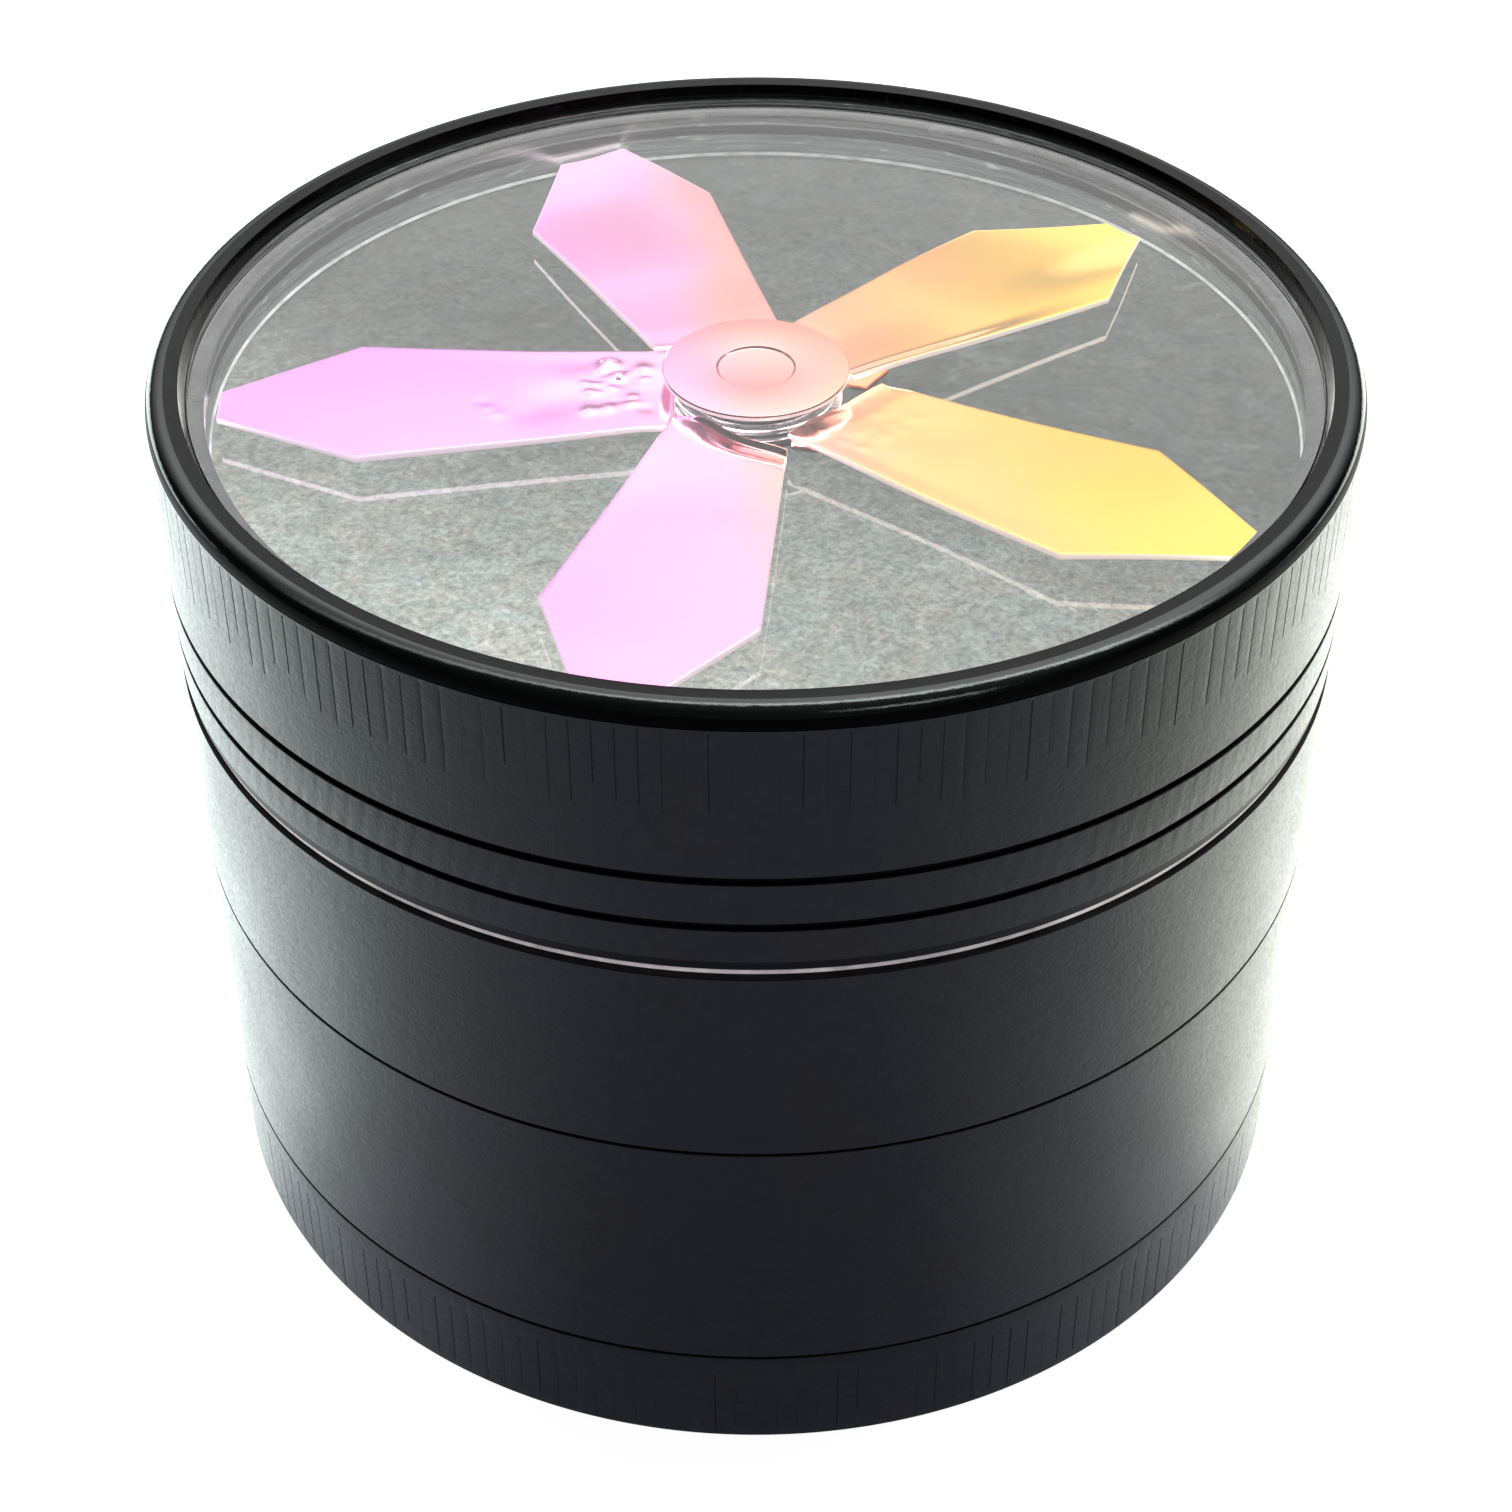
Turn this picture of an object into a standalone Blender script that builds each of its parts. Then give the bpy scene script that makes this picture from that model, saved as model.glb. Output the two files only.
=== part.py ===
"""Four-piece herb grinder, 63 mm, with a clear window in the lid over a five-blade spinner.

Built in metres, +Z up; the origin is the middle of the catcher's underside and every turned piece
shares the Z axis. From the bottom: catcher cup, storage chamber with its screen, grinding chamber
with teeth and drop holes, friction ring, lid with teeth, spinner on a ball bearing, spacer ring
and clear window. All sizes below are in millimetres, and all outlines are rows of (radius, z).
"""

import math

import bmesh
import bpy
from mathutils import Matrix, Vector

for old in list(bpy.data.objects):
    bpy.data.objects.remove(old, do_unlink=True)

MM = 0.001
SHARP_ANGLE = math.radians(28)
WELD_DIST = 2e-7        # metres, merges stray Boolean vertices

# ---- driving dimensions ----------------------------------------------------------------------
OUTER_R = 31.5          # outside of all four rings
TOTAL_H = 50.0          # bottom of the catcher to the rim of the lid
BIG_SEGS = 36           # facets round a big turned piece
SMALL_SEGS = 24         # facets round a small one
MINI_SEGS = 16          # facets round the bearing's pieces

CLEARANCE = 0.3         # gap between fitted pieces
EDGE = 0.2              # usual edge chamfer

CATCHER_TOP = 6.4
STORAGE_BOTTOM = CATCHER_TOP + CLEARANCE
STORAGE_TOP = 22.05
CHAMBER_BOTTOM = STORAGE_TOP + CLEARANCE
CHAMBER_TOP = 33.85
RING_GAP = 0.28         # above and below the friction ring's flange
RING_FLANGE_H = 0.36
RING_BOTTOM = CHAMBER_TOP + RING_GAP
RING_TOP = RING_BOTTOM + RING_FLANGE_H
LID_BOTTOM = RING_TOP + RING_GAP

# Threads, one start, right hand
PITCH = 1.5
THREAD_H = 0.65         # wall to crest
THREAD_SEGS = 36        # columns per turn
THREAD_SINK = 0.35      # foot below the wall's surface
RIDGE_FOOT = 0.44       # half width of a ridge at the wall
RIDGE_TIP = 0.14        # half width at its crest
FADE_ANGLE = math.pi / 3
FADE_DIP = 0.25         # part of THREAD_H by which a ridge's ends dip below the wall
NECK_R = 28.3           # male thread wall
NECK_LEAD_R = 27.9      # a neck's chamfered lower edge
NECK_LEAD_H = 0.3
SOCKET_R = NECK_R + THREAD_H + CLEARANCE
LOWER_THREAD_Z = 3.8    # where the male ridges pass angle 0
UPPER_THREAD_Z = 18.0

# Teeth and posts, shared by the grinding chamber and the lid
TOOTH_RADIAL = 1.5      # half diagonal of the diamond section, along the radius
TOOTH_TANGENT = 2.1     # half diagonal round the circle
TOOTH_SINK = 0.4
TOOTH_SHOULDER = 0.5    # from the shoulder to the tip
SHOULDER_SCALE = 0.93
TIP_SCALE = 0.72
POST_R = 6.5
MAGNET_POCKET_R = 4.2
MAGNET_POCKET_DEPTH = 3.3
MAGNET_R = MAGNET_POCKET_R - CLEARANCE


# ---- materials -------------------------------------------------------------------------------
FINISHES = {
    "black_anodised": dict(colour=(0.022, 0.022, 0.023), roughness=0.42, metallic=0.35),
    "clear_acrylic": dict(colour=(0.9, 0.92, 0.92), roughness=0.04, metallic=0.0, alpha=0.25),
    "iridescent_sheet": dict(colour=(1.0, 0.72, 0.80), roughness=0.12, metallic=1.0),
    "nylon": dict(colour=(0.75, 0.68, 0.66), roughness=0.5, metallic=0.0),
    "nickel": dict(colour=(0.62, 0.61, 0.59), roughness=0.2, metallic=1.0),
    "steel": dict(colour=(0.56, 0.57, 0.58), roughness=0.25, metallic=1.0),
    "woven_steel": dict(colour=(0.5, 0.5, 0.5), roughness=0.35, metallic=1.0),
    "brass": dict(colour=(0.72, 0.53, 0.24), roughness=0.3, metallic=1.0),
}


def material(name, colour, roughness, metallic, alpha=1.0):
    mat = bpy.data.materials.new(name)
    mat.use_nodes = True
    shader = mat.node_tree.nodes["Principled BSDF"]
    shader.inputs["Base Color"].default_value = (*colour, 1.0)
    shader.inputs["Roughness"].default_value = roughness
    shader.inputs["Metallic"].default_value = metallic
    shader.inputs["Alpha"].default_value = alpha
    return mat


# ---- mesh helpers ----------------------------------------------------------------------------
def shade(mesh):
    mesh.shade_smooth()
    mesh.set_sharp_from_angle(angle=SHARP_ANGLE)


def mesh_object(name, bm, finish=None):
    bmesh.ops.recalc_face_normals(bm, faces=bm.faces)
    if bm.calc_volume(signed=True) < 0:
        bmesh.ops.reverse_faces(bm, faces=bm.faces)
    mesh = bpy.data.meshes.new(name)
    bm.to_mesh(mesh)
    bm.free()
    obj = bpy.data.objects.new(name, mesh)
    bpy.context.scene.collection.objects.link(obj)
    if finish:
        mesh.materials.append(material(name + "_" + finish, **FINISHES[finish]))
    shade(mesh)
    return obj


def turned(outline, segs=BIG_SEGS, phase=0.0):
    """A closed outline turned round Z. Points with radius 0 become one point on the axis."""
    bm = bmesh.new()
    angles = [phase + 2 * math.pi * i / segs for i in range(segs)]
    rings = []
    for radius, z in outline:
        if radius < 1e-6:
            rings.append([bm.verts.new((0, 0, z * MM))])
        else:
            rings.append([
                bm.verts.new((radius * MM * math.cos(a), radius * MM * math.sin(a), z * MM))
                for a in angles
            ])
    for ring, following in zip(rings, rings[1:] + rings[:1]):
        if len(ring) == 1 and len(following) == 1:
            continue
        for i in range(segs):
            j = (i + 1) % segs
            corners = (ring[i % len(ring)], ring[j % len(ring)],
                       following[j % len(following)], following[i % len(following)])
            # A point on the axis comes up twice; the dict keeps it once.
            bm.faces.new(list(dict.fromkeys(corners)))
    return bm


def turned_piece(name, outline, finish, segs=BIG_SEGS, phase=0.0):
    return mesh_object(name, turned(outline, segs, phase), finish)


def tube(inner_r, outer_r, bottom, top):
    """The outline of a plain ring."""
    return [(inner_r, bottom), (outer_r, bottom), (outer_r, top), (inner_r, top)]


def add_loft(bm, sections):
    """Adds a capped solid through matching loops of points in millimetres."""
    loops = [[bm.verts.new(Vector(point) * MM) for point in section] for section in sections]
    for loop, following in zip(loops, loops[1:]):
        for i in range(len(loop)):
            j = (i + 1) % len(loop)
            bm.faces.new((loop[i], loop[j], following[j], following[i]))
    bm.faces.new(list(reversed(loops[0])))
    bm.faces.new(loops[-1])


def apply_boolean(obj, tool_bm, operation):
    """Applies an exact Boolean with a temporary tool."""
    tool = mesh_object("tool", tool_bm)
    modifier = obj.modifiers.new("cut", "BOOLEAN")
    modifier.operation = operation
    modifier.solver = "EXACT"
    modifier.object = tool
    graph = bpy.context.evaluated_depsgraph_get()
    graph.update()
    result = bpy.data.meshes.new_from_object(obj.evaluated_get(graph))
    obj.modifiers.remove(modifier)
    obj.data = result
    tool_mesh = tool.data
    bpy.data.objects.remove(tool, do_unlink=True)
    bpy.data.meshes.remove(tool_mesh)
    bm = bmesh.new()
    bm.from_mesh(result)
    bmesh.ops.remove_doubles(bm, verts=bm.verts, dist=WELD_DIST)
    bmesh.ops.dissolve_degenerate(bm, edges=bm.edges, dist=WELD_DIST)
    bmesh.ops.triangulate(bm, faces=bm.faces)
    bm.to_mesh(result)
    bm.free()
    shade(result)


def ridge(wall_r, outward, z_start, z_end, z_ref):
    """One helical thread ridge. Its centre line climbs PITCH per turn and passes angle 0 at
    z_ref. Outward is 1 for a male thread and -1 for a female one."""
    foot_r = wall_r - outward * THREAD_SINK
    foot_half = RIDGE_FOOT + (RIDGE_FOOT - RIDGE_TIP) * THREAD_SINK / THREAD_H
    start = 2 * math.pi * (z_start - z_ref) / PITCH
    end = 2 * math.pi * (z_end - z_ref) / PITCH
    count = round((end - start) / (2 * math.pi) * THREAD_SEGS)
    sections = []
    for i in range(count + 1):
        angle = start + (end - start) * i / count
        z = z_ref + PITCH * angle / (2 * math.pi)
        rise = min(1.0, (angle - start) / FADE_ANGLE, (end - angle) / FADE_ANGLE)
        top_r = wall_r + outward * THREAD_H * (-FADE_DIP + (1 + FADE_DIP) * rise)
        section = ((foot_r, -foot_half), (top_r, -RIDGE_TIP), (top_r, RIDGE_TIP),
                   (foot_r, foot_half))
        sections.append([
            (radius * math.cos(angle), radius * math.sin(angle), z + offset)
            for radius, offset in section
        ])
    bm = bmesh.new()
    add_loft(bm, sections)
    return bm


def add_neck_thread(obj, z_start, z_end, z_ref):
    apply_boolean(obj, ridge(NECK_R, 1, z_start, z_end, z_ref), "UNION")


def add_socket_thread(obj, z_start, z_end, neck_z_ref):
    """The female ridge runs half a pitch above the male one."""
    apply_boolean(obj, ridge(SOCKET_R, -1, z_start, z_end, neck_z_ref + PITCH / 2), "UNION")


def row_places(rows):
    """Yields (radius, angle) for every place in rows of (radius, count, first angle in degrees)."""
    for radius, count, first in rows:
        for i in range(count):
            yield radius, math.radians(first) + 2 * math.pi * i / count


def diamond_teeth(rows, root_z, tip_z):
    """Tapered diamond teeth, sunk into the floor they grow from."""
    direction = math.copysign(1, tip_z - root_z)
    levels = (
        (root_z - direction * TOOTH_SINK, 1.0),
        (tip_z - direction * TOOTH_SHOULDER, SHOULDER_SCALE),
        (tip_z, TIP_SCALE),
    )
    diamond = ((TOOTH_RADIAL, 0), (0, TOOTH_TANGENT), (-TOOTH_RADIAL, 0), (0, -TOOTH_TANGENT))
    bm = bmesh.new()
    for radius, angle in row_places(rows):
        turn = Matrix.Rotation(angle, 4, "Z")
        add_loft(bm, [
            [turn @ Vector((radius + x * scale, y * scale, z)) for x, y in diamond]
            for z, scale in levels
        ])
    return bm


def round_cutters(rows, cutter_r, bottom, top, segs=10):
    bm = bmesh.new()
    for radius, angle in row_places(rows):
        centre_x, centre_y = radius * math.cos(angle), radius * math.sin(angle)
        corners = [angle + 2 * math.pi * (i + 0.5) / segs for i in range(segs)]
        add_loft(bm, [
            [(centre_x + cutter_r * math.cos(a), centre_y + cutter_r * math.sin(a), z)
             for a in corners]
            for z in (bottom, top)
        ])
    return bm


def magnet(name, pocket_end, mouth):
    """A magnet in a post's pocket, chamfered on the side of the pocket's mouth."""
    direction = math.copysign(1, mouth - pocket_end)
    back = pocket_end + direction * CLEARANCE
    face = mouth - direction * CLEARANCE
    turned_piece(name, [
        (0, back), (MAGNET_R, back), (MAGNET_R, face - direction * EDGE),
        (MAGNET_R - EDGE, face), (0, face),
    ], "nickel", SMALL_SEGS)


# ---- catcher cup -----------------------------------------------------------------------------
CATCHER_FOOT_CHAMFER = 0.6
CATCHER_FLOOR = 1.2
CATCHER_SOCKET_FOOT = 2.7
CATCHER_CORNER = [(27.9, 2.6), (27.5, 1.7), (26.3, CATCHER_FLOOR)]    # wall down to the floor

catcher = turned_piece("catcher_cup", [
    (0, 0), (OUTER_R - CATCHER_FOOT_CHAMFER, 0), (OUTER_R, CATCHER_FOOT_CHAMFER),
    (OUTER_R, CATCHER_TOP - EDGE), (OUTER_R - EDGE, CATCHER_TOP),
    (SOCKET_R, CATCHER_TOP), (SOCKET_R, CATCHER_SOCKET_FOOT), *CATCHER_CORNER, (0, CATCHER_FLOOR),
], "black_anodised")
add_socket_thread(catcher, 3.3, 5.7, LOWER_THREAD_Z)

# ---- storage chamber, screen and the ring above it -------------------------------------------
STORAGE_NECK_BOTTOM = 3.0
STORAGE_BORE_R = 27.6
STORAGE_BORE_TOP = 16.5
STORAGE_SOCKET_FOOT = 16.9
LEDGE_R = 26.0          # inner edge of the screen's ledge
LEDGE_TOP = 8.0
SCREEN_R = STORAGE_BORE_R - CLEARANCE
SCREEN_BOTTOM = LEDGE_TOP + CLEARANCE
SCREEN_TOP = SCREEN_BOTTOM + 0.2
SCREEN_RING_BOTTOM = SCREEN_TOP + CLEARANCE
SCREEN_RING_TOP = SCREEN_RING_BOTTOM + 1.1

storage = turned_piece("storage_chamber", [
    (LEDGE_R, STORAGE_NECK_BOTTOM), (NECK_LEAD_R, STORAGE_NECK_BOTTOM),
    (NECK_R, STORAGE_NECK_BOTTOM + NECK_LEAD_H), (NECK_R, STORAGE_BOTTOM),
    (OUTER_R - EDGE, STORAGE_BOTTOM), (OUTER_R, STORAGE_BOTTOM + EDGE),
    (OUTER_R, STORAGE_TOP - EDGE), (OUTER_R - EDGE, STORAGE_TOP),
    (SOCKET_R, STORAGE_TOP), (SOCKET_R, STORAGE_SOCKET_FOOT),
    (STORAGE_BORE_R, STORAGE_BORE_TOP), (STORAGE_BORE_R, LEDGE_TOP), (LEDGE_R, LEDGE_TOP),
], "black_anodised")
add_neck_thread(storage, 3.75, 6.1, LOWER_THREAD_Z)
add_socket_thread(storage, 17.6, 21.4, UPPER_THREAD_Z)

turned_piece("pollen_screen", tube(0, SCREEN_R, SCREEN_BOTTOM, SCREEN_TOP), "woven_steel")
turned_piece("screen_ring", [
    (LEDGE_R, SCREEN_RING_BOTTOM), (SCREEN_R, SCREEN_RING_BOTTOM), (SCREEN_R, SCREEN_RING_TOP),
    (LEDGE_R + EDGE, SCREEN_RING_TOP), (LEDGE_R, SCREEN_RING_TOP - EDGE),
], "steel")

# ---- grinding chamber ------------------------------------------------------------------------
CHAMBER_NECK_BOTTOM = 17.2
CHAMBER_SKIRT_R = 26.4          # inside of the neck, below the tooth floor
CHAMBER_FLOOR_UNDER = 24.0
CHAMBER_FLOOR = 26.5            # upper face of the tooth floor
CHAMBER_BORE_R = 29.0
REBATE_R = 29.4                 # step at the mouth, holding the friction ring
REBATE_Z = 31.0
CHAMBER_POST_TOP = 34.0
CHAMBER_POCKET_FLOOR = CHAMBER_POST_TOP - MAGNET_POCKET_DEPTH
CHAMBER_TOOTH_TIP = 39.8
DROP_HOLE_R = 1.9
# radius, count, first angle in degrees
CHAMBER_TOOTH_ROWS = ((14.5, 6, 20.0), (21.6, 9, 4.0))
DROP_HOLE_ROWS = ((10.7, 5, 0.0), (18.05, 8, 12.0), (25.0, 12, 0.0))

chamber = turned_piece("grinding_chamber", [
    (0, CHAMBER_FLOOR_UNDER), (CHAMBER_SKIRT_R, CHAMBER_FLOOR_UNDER),
    (CHAMBER_SKIRT_R, CHAMBER_NECK_BOTTOM), (NECK_LEAD_R, CHAMBER_NECK_BOTTOM),
    (NECK_R, CHAMBER_NECK_BOTTOM + NECK_LEAD_H), (NECK_R, CHAMBER_BOTTOM),
    (OUTER_R - EDGE, CHAMBER_BOTTOM), (OUTER_R, CHAMBER_BOTTOM + EDGE),
    (OUTER_R, CHAMBER_TOP - EDGE), (OUTER_R - EDGE, CHAMBER_TOP),
    (REBATE_R, CHAMBER_TOP), (REBATE_R, REBATE_Z), (CHAMBER_BORE_R, REBATE_Z),
    (CHAMBER_BORE_R, CHAMBER_FLOOR), (POST_R, CHAMBER_FLOOR), (POST_R, CHAMBER_POST_TOP),
    (MAGNET_POCKET_R, CHAMBER_POST_TOP), (MAGNET_POCKET_R, CHAMBER_POCKET_FLOOR),
    (0, CHAMBER_POCKET_FLOOR),
], "black_anodised")
add_neck_thread(chamber, 17.95, 21.7, UPPER_THREAD_Z)
chamber_teeth = diamond_teeth(CHAMBER_TOOTH_ROWS, CHAMBER_FLOOR, CHAMBER_TOOTH_TIP)
apply_boolean(chamber, chamber_teeth, "UNION")
drop_holes = round_cutters(DROP_HOLE_ROWS, DROP_HOLE_R, CHAMBER_FLOOR_UNDER - 1, CHAMBER_FLOOR + 1)
apply_boolean(chamber, drop_holes, "DIFFERENCE")
magnet("chamber_magnet", CHAMBER_POCKET_FLOOR, CHAMBER_POST_TOP)

# ---- friction ring between the grinding chamber and the lid ----------------------------------
RING_BORE_R = 28.75
RING_SLEEVE_R = REBATE_R - CLEARANCE
RING_SLEEVE_BOTTOM = REBATE_Z + CLEARANCE
RING_FLANGE_R = OUTER_R - EDGE

turned_piece("friction_ring", [
    (RING_BORE_R, RING_SLEEVE_BOTTOM), (RING_SLEEVE_R, RING_SLEEVE_BOTTOM),
    (RING_SLEEVE_R, RING_BOTTOM), (RING_FLANGE_R, RING_BOTTOM), (RING_FLANGE_R, RING_TOP),
    (RING_BORE_R, RING_TOP),
], "nylon")

# ---- lid, window and spacer ------------------------------------------------------------------
WINDOW_R = 29.46
WINDOW_BOTTOM = 48.2
WINDOW_TOP = 49.2
WINDOW_CHAMFER = 0.15
SPACER_BORE_R = 28.6
POCKET_R = WINDOW_R + CLEARANCE     # pocket in the lid's top
POCKET_FLOOR = 45.4
AXLE_HOLE_R = 1.5
AXLE_HOLE_FLOOR = 42.6
RIM_ROUND = 1.0         # radius of the rim's two-facet rounding
RIM_ROUND_MID = 0.293   # inset of its middle point
GROOVE_ZS = (40.13, 37.25)
GROOVE_W = 0.46
GROOVE_DEPTH = 0.35
LID_NECK_R = 28.4
LID_BORE_R = 27.0
LID_NECK_BOTTOM = 31.6
LID_CEILING = 41.0      # underside of the lid's floor
LID_POST_BOTTOM = 34.4
LID_POCKET_CEILING = LID_POST_BOTTOM + MAGNET_POCKET_DEPTH
LID_TOOTH_TIP = 27.7
# radius, count, first angle in degrees
LID_TOOTH_ROWS = ((10.9, 5, 10.0), (18.1, 8, 0.0), (25.0, 10, 9.0))


def groove_points(z):
    """Outline points of a groove round the outside, from its upper edge down."""
    top, bottom = z + GROOVE_W / 2, z - GROOVE_W / 2
    bed_r = OUTER_R - GROOVE_DEPTH
    return [(OUTER_R, top), (bed_r, top), (bed_r, bottom), (OUTER_R, bottom)]


lid = turned_piece("lid_shell", [
    (0, AXLE_HOLE_FLOOR), (AXLE_HOLE_R, AXLE_HOLE_FLOOR), (AXLE_HOLE_R, POCKET_FLOOR),
    (POCKET_R, POCKET_FLOOR), (POCKET_R, TOTAL_H), (OUTER_R - RIM_ROUND, TOTAL_H),
    (OUTER_R - RIM_ROUND_MID, TOTAL_H - RIM_ROUND_MID), (OUTER_R, TOTAL_H - RIM_ROUND),
    *groove_points(GROOVE_ZS[0]), *groove_points(GROOVE_ZS[1]),
    (OUTER_R, LID_BOTTOM + EDGE), (OUTER_R - EDGE, LID_BOTTOM),
    (LID_NECK_R, LID_BOTTOM), (LID_NECK_R, LID_NECK_BOTTOM), (LID_BORE_R, LID_NECK_BOTTOM),
    (LID_BORE_R, LID_CEILING), (POST_R, LID_CEILING), (POST_R, LID_POST_BOTTOM),
    (MAGNET_POCKET_R, LID_POST_BOTTOM), (MAGNET_POCKET_R, LID_POCKET_CEILING),
    (0, LID_POCKET_CEILING),
], "black_anodised")
apply_boolean(lid, diamond_teeth(LID_TOOTH_ROWS, LID_CEILING, LID_TOOTH_TIP), "UNION")
magnet("lid_magnet", LID_POCKET_CEILING, LID_POST_BOTTOM)
turned_piece("lid_window", [
    (0, WINDOW_BOTTOM), (WINDOW_R, WINDOW_BOTTOM), (WINDOW_R, WINDOW_TOP - WINDOW_CHAMFER),
    (WINDOW_R - WINDOW_CHAMFER, WINDOW_TOP), (0, WINDOW_TOP),
], "clear_acrylic")
turned_piece("window_spacer", tube(
    SPACER_BORE_R, WINDOW_R, POCKET_FLOOR + CLEARANCE, WINDOW_BOTTOM - CLEARANCE,
), "clear_acrylic")

# ---- axle and ball bearing -------------------------------------------------------------------
PIN_R = 1.44
PIN_BOTTOM = 42.75
PIN_TOP = 47.45
PIN_CHAMFER = 0.15
WASHER_BOTTOM = 45.47
WASHER_TOP = 45.67
BEARING_BOTTOM = 45.75
BEARING_TOP = 47.35
BEARING_MID = (BEARING_BOTTOM + BEARING_TOP) / 2
INNER_RACE_BORE_R = 1.52
INNER_RACE_R = 1.9
INNER_TRACK_R = 1.79
OUTER_RACE_BORE_R = 2.62
OUTER_RACE_R = 3.0
OUTER_TRACK_R = 2.72
TRACK_MOUTH = 0.32      # half height of a ball track at the race's surface
TRACK_BED = 0.16        # half height at its bed
BALL_R = 0.4
BALL_ROWS = ((2.25, 6, 0.0),)       # radius, count, first angle in degrees
CAGE_BORE_R = 2.05
CAGE_R = 2.45
CAGE_INSET = 0.1        # below the bearing's top and above its bottom
CAGE_POCKET_R = 0.5
CAGE_CUTTER_LENGTH = 1.2

turned_piece("axle_pin", [
    (0, PIN_BOTTOM), (PIN_R, PIN_BOTTOM), (PIN_R, PIN_TOP - PIN_CHAMFER),
    (PIN_R - PIN_CHAMFER, PIN_TOP), (0, PIN_TOP),
], "steel", MINI_SEGS)
turned_piece("axle_washer", tube(INNER_RACE_BORE_R, INNER_RACE_R, WASHER_BOTTOM, WASHER_TOP),
             "brass", MINI_SEGS)


def race(name, plain_r, facing_r, track_r):
    """A bearing race with its ball track in the wall at facing_r."""
    return turned_piece(name, [
        (plain_r, BEARING_BOTTOM), (facing_r, BEARING_BOTTOM),
        (facing_r, BEARING_MID - TRACK_MOUTH), (track_r, BEARING_MID - TRACK_BED),
        (track_r, BEARING_MID + TRACK_BED), (facing_r, BEARING_MID + TRACK_MOUTH),
        (facing_r, BEARING_TOP), (plain_r, BEARING_TOP),
    ], "steel", MINI_SEGS)


race("bearing_inner_race", INNER_RACE_BORE_R, INNER_RACE_R, INNER_TRACK_R)
outer_race = race("bearing_outer_race", OUTER_RACE_R, OUTER_RACE_BORE_R, OUTER_TRACK_R)

cage = turned_piece("bearing_cage", tube(
    CAGE_BORE_R, CAGE_R, BEARING_BOTTOM + CAGE_INSET, BEARING_TOP - CAGE_INSET,
), "brass", segs=18, phase=math.radians(10))
pockets = bmesh.new()
for radius, angle in row_places(BALL_ROWS):
    cutter = bmesh.ops.create_cone(
        pockets, cap_ends=True, segments=8, radius1=CAGE_POCKET_R * MM,
        radius2=CAGE_POCKET_R * MM, depth=CAGE_CUTTER_LENGTH * MM)
    bmesh.ops.transform(pockets, verts=cutter["verts"], matrix=(
        Matrix.Rotation(angle, 4, "Z")
        @ Matrix.Translation((radius * MM, 0, BEARING_MID * MM))
        @ Matrix.Rotation(math.pi / 2, 4, "Y")))
apply_boolean(cage, pockets, "DIFFERENCE")

for number, (radius, angle) in enumerate(row_places(BALL_ROWS), start=1):
    ball = bmesh.new()
    bmesh.ops.create_icosphere(ball, subdivisions=1, radius=BALL_R * MM)
    bmesh.ops.translate(ball, verts=ball.verts, vec=(
        radius * MM * math.cos(angle), radius * MM * math.sin(angle), BEARING_MID * MM))
    mesh_object("bearing_ball_%d" % number, ball, "steel")

# ---- spinner ---------------------------------------------------------------------------------
HUB_CAP_R = 4.92
HUB_CAP_BOTTOM = 47.65
HUB_CAP_TOP = 47.95
HUB_CEILING = HUB_CAP_BOTTOM - 0.05     # inside the sleeve
HUB_RECESS_R = 2.09
HUB_RECESS_SLOPE = 0.1
HUB_RECESS_FLOOR = HUB_CAP_TOP - 0.12
SLEEVE_R = 3.7
SLEEVE_BORE_R = 3.08
SLEEVE_BOTTOM = 45.9
COLLAR_BORE_R = 3.8     # also the bore of the blades' ring
COLLAR_R = 4.6
COLLAR_TOP = 46.35
BLADE_RING_R = 4.85
BLADE_BOTTOM = 46.45
BLADE_TOP = 46.75
BLADE_INSET = 0.02      # blades are thinner than their ring by this on each face
BLADE_COUNT = 5
FIRST_BLADE_ANGLE = 183.9
# One blade seen from above: distance along it from the axis, distance across it
BLADE_OUTLINE = (
    (4.3, -2.3), (5.35, -3.6), (20.8, -5.45), (28.1, -1.25), (28.1, 1.25),
    (20.8, 5.45), (5.45, 3.6), (6.1, 1.2), (5.6, -0.2), (4.2, -0.7),
)

hub_cap = turned_piece("spinner_hub_cap", [
    (0, HUB_RECESS_FLOOR), (HUB_RECESS_R - HUB_RECESS_SLOPE, HUB_RECESS_FLOOR),
    (HUB_RECESS_R, HUB_CAP_TOP), (HUB_CAP_R, HUB_CAP_TOP), (HUB_CAP_R, HUB_CAP_BOTTOM),
    (SLEEVE_R, HUB_CAP_BOTTOM), (SLEEVE_R, SLEEVE_BOTTOM), (SLEEVE_BORE_R, SLEEVE_BOTTOM),
    (SLEEVE_BORE_R, HUB_CEILING), (0, HUB_CEILING),
], "iridescent_sheet", segs=32)
collar = turned_piece("hub_collar", tube(COLLAR_BORE_R, COLLAR_R, BEARING_BOTTOM, COLLAR_TOP),
                      "brass", SMALL_SEGS)

blades = turned_piece("spinner_blades", tube(
    COLLAR_BORE_R, BLADE_RING_R, BLADE_BOTTOM, BLADE_TOP,
), "iridescent_sheet", segs=40)
fan = bmesh.new()
for i in range(BLADE_COUNT):
    turn = Matrix.Rotation(math.radians(FIRST_BLADE_ANGLE - i * 360 / BLADE_COUNT), 4, "Z")
    add_loft(fan, [
        [turn @ Vector((along, across, z)) for along, across in BLADE_OUTLINE]
        for z in (BLADE_BOTTOM + BLADE_INSET, BLADE_TOP - BLADE_INSET)
    ])
apply_boolean(blades, fan, "UNION")

# A spinning piece has its origin on its axis, at the bearing's middle.
spin_centre = Vector((0, 0, BEARING_MID * MM))
for piece in (blades, hub_cap, collar, outer_race, cage):
    piece.data.transform(Matrix.Translation(-spin_centre))
    piece.location = spin_centre
bpy.context.view_layer.update()
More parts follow.
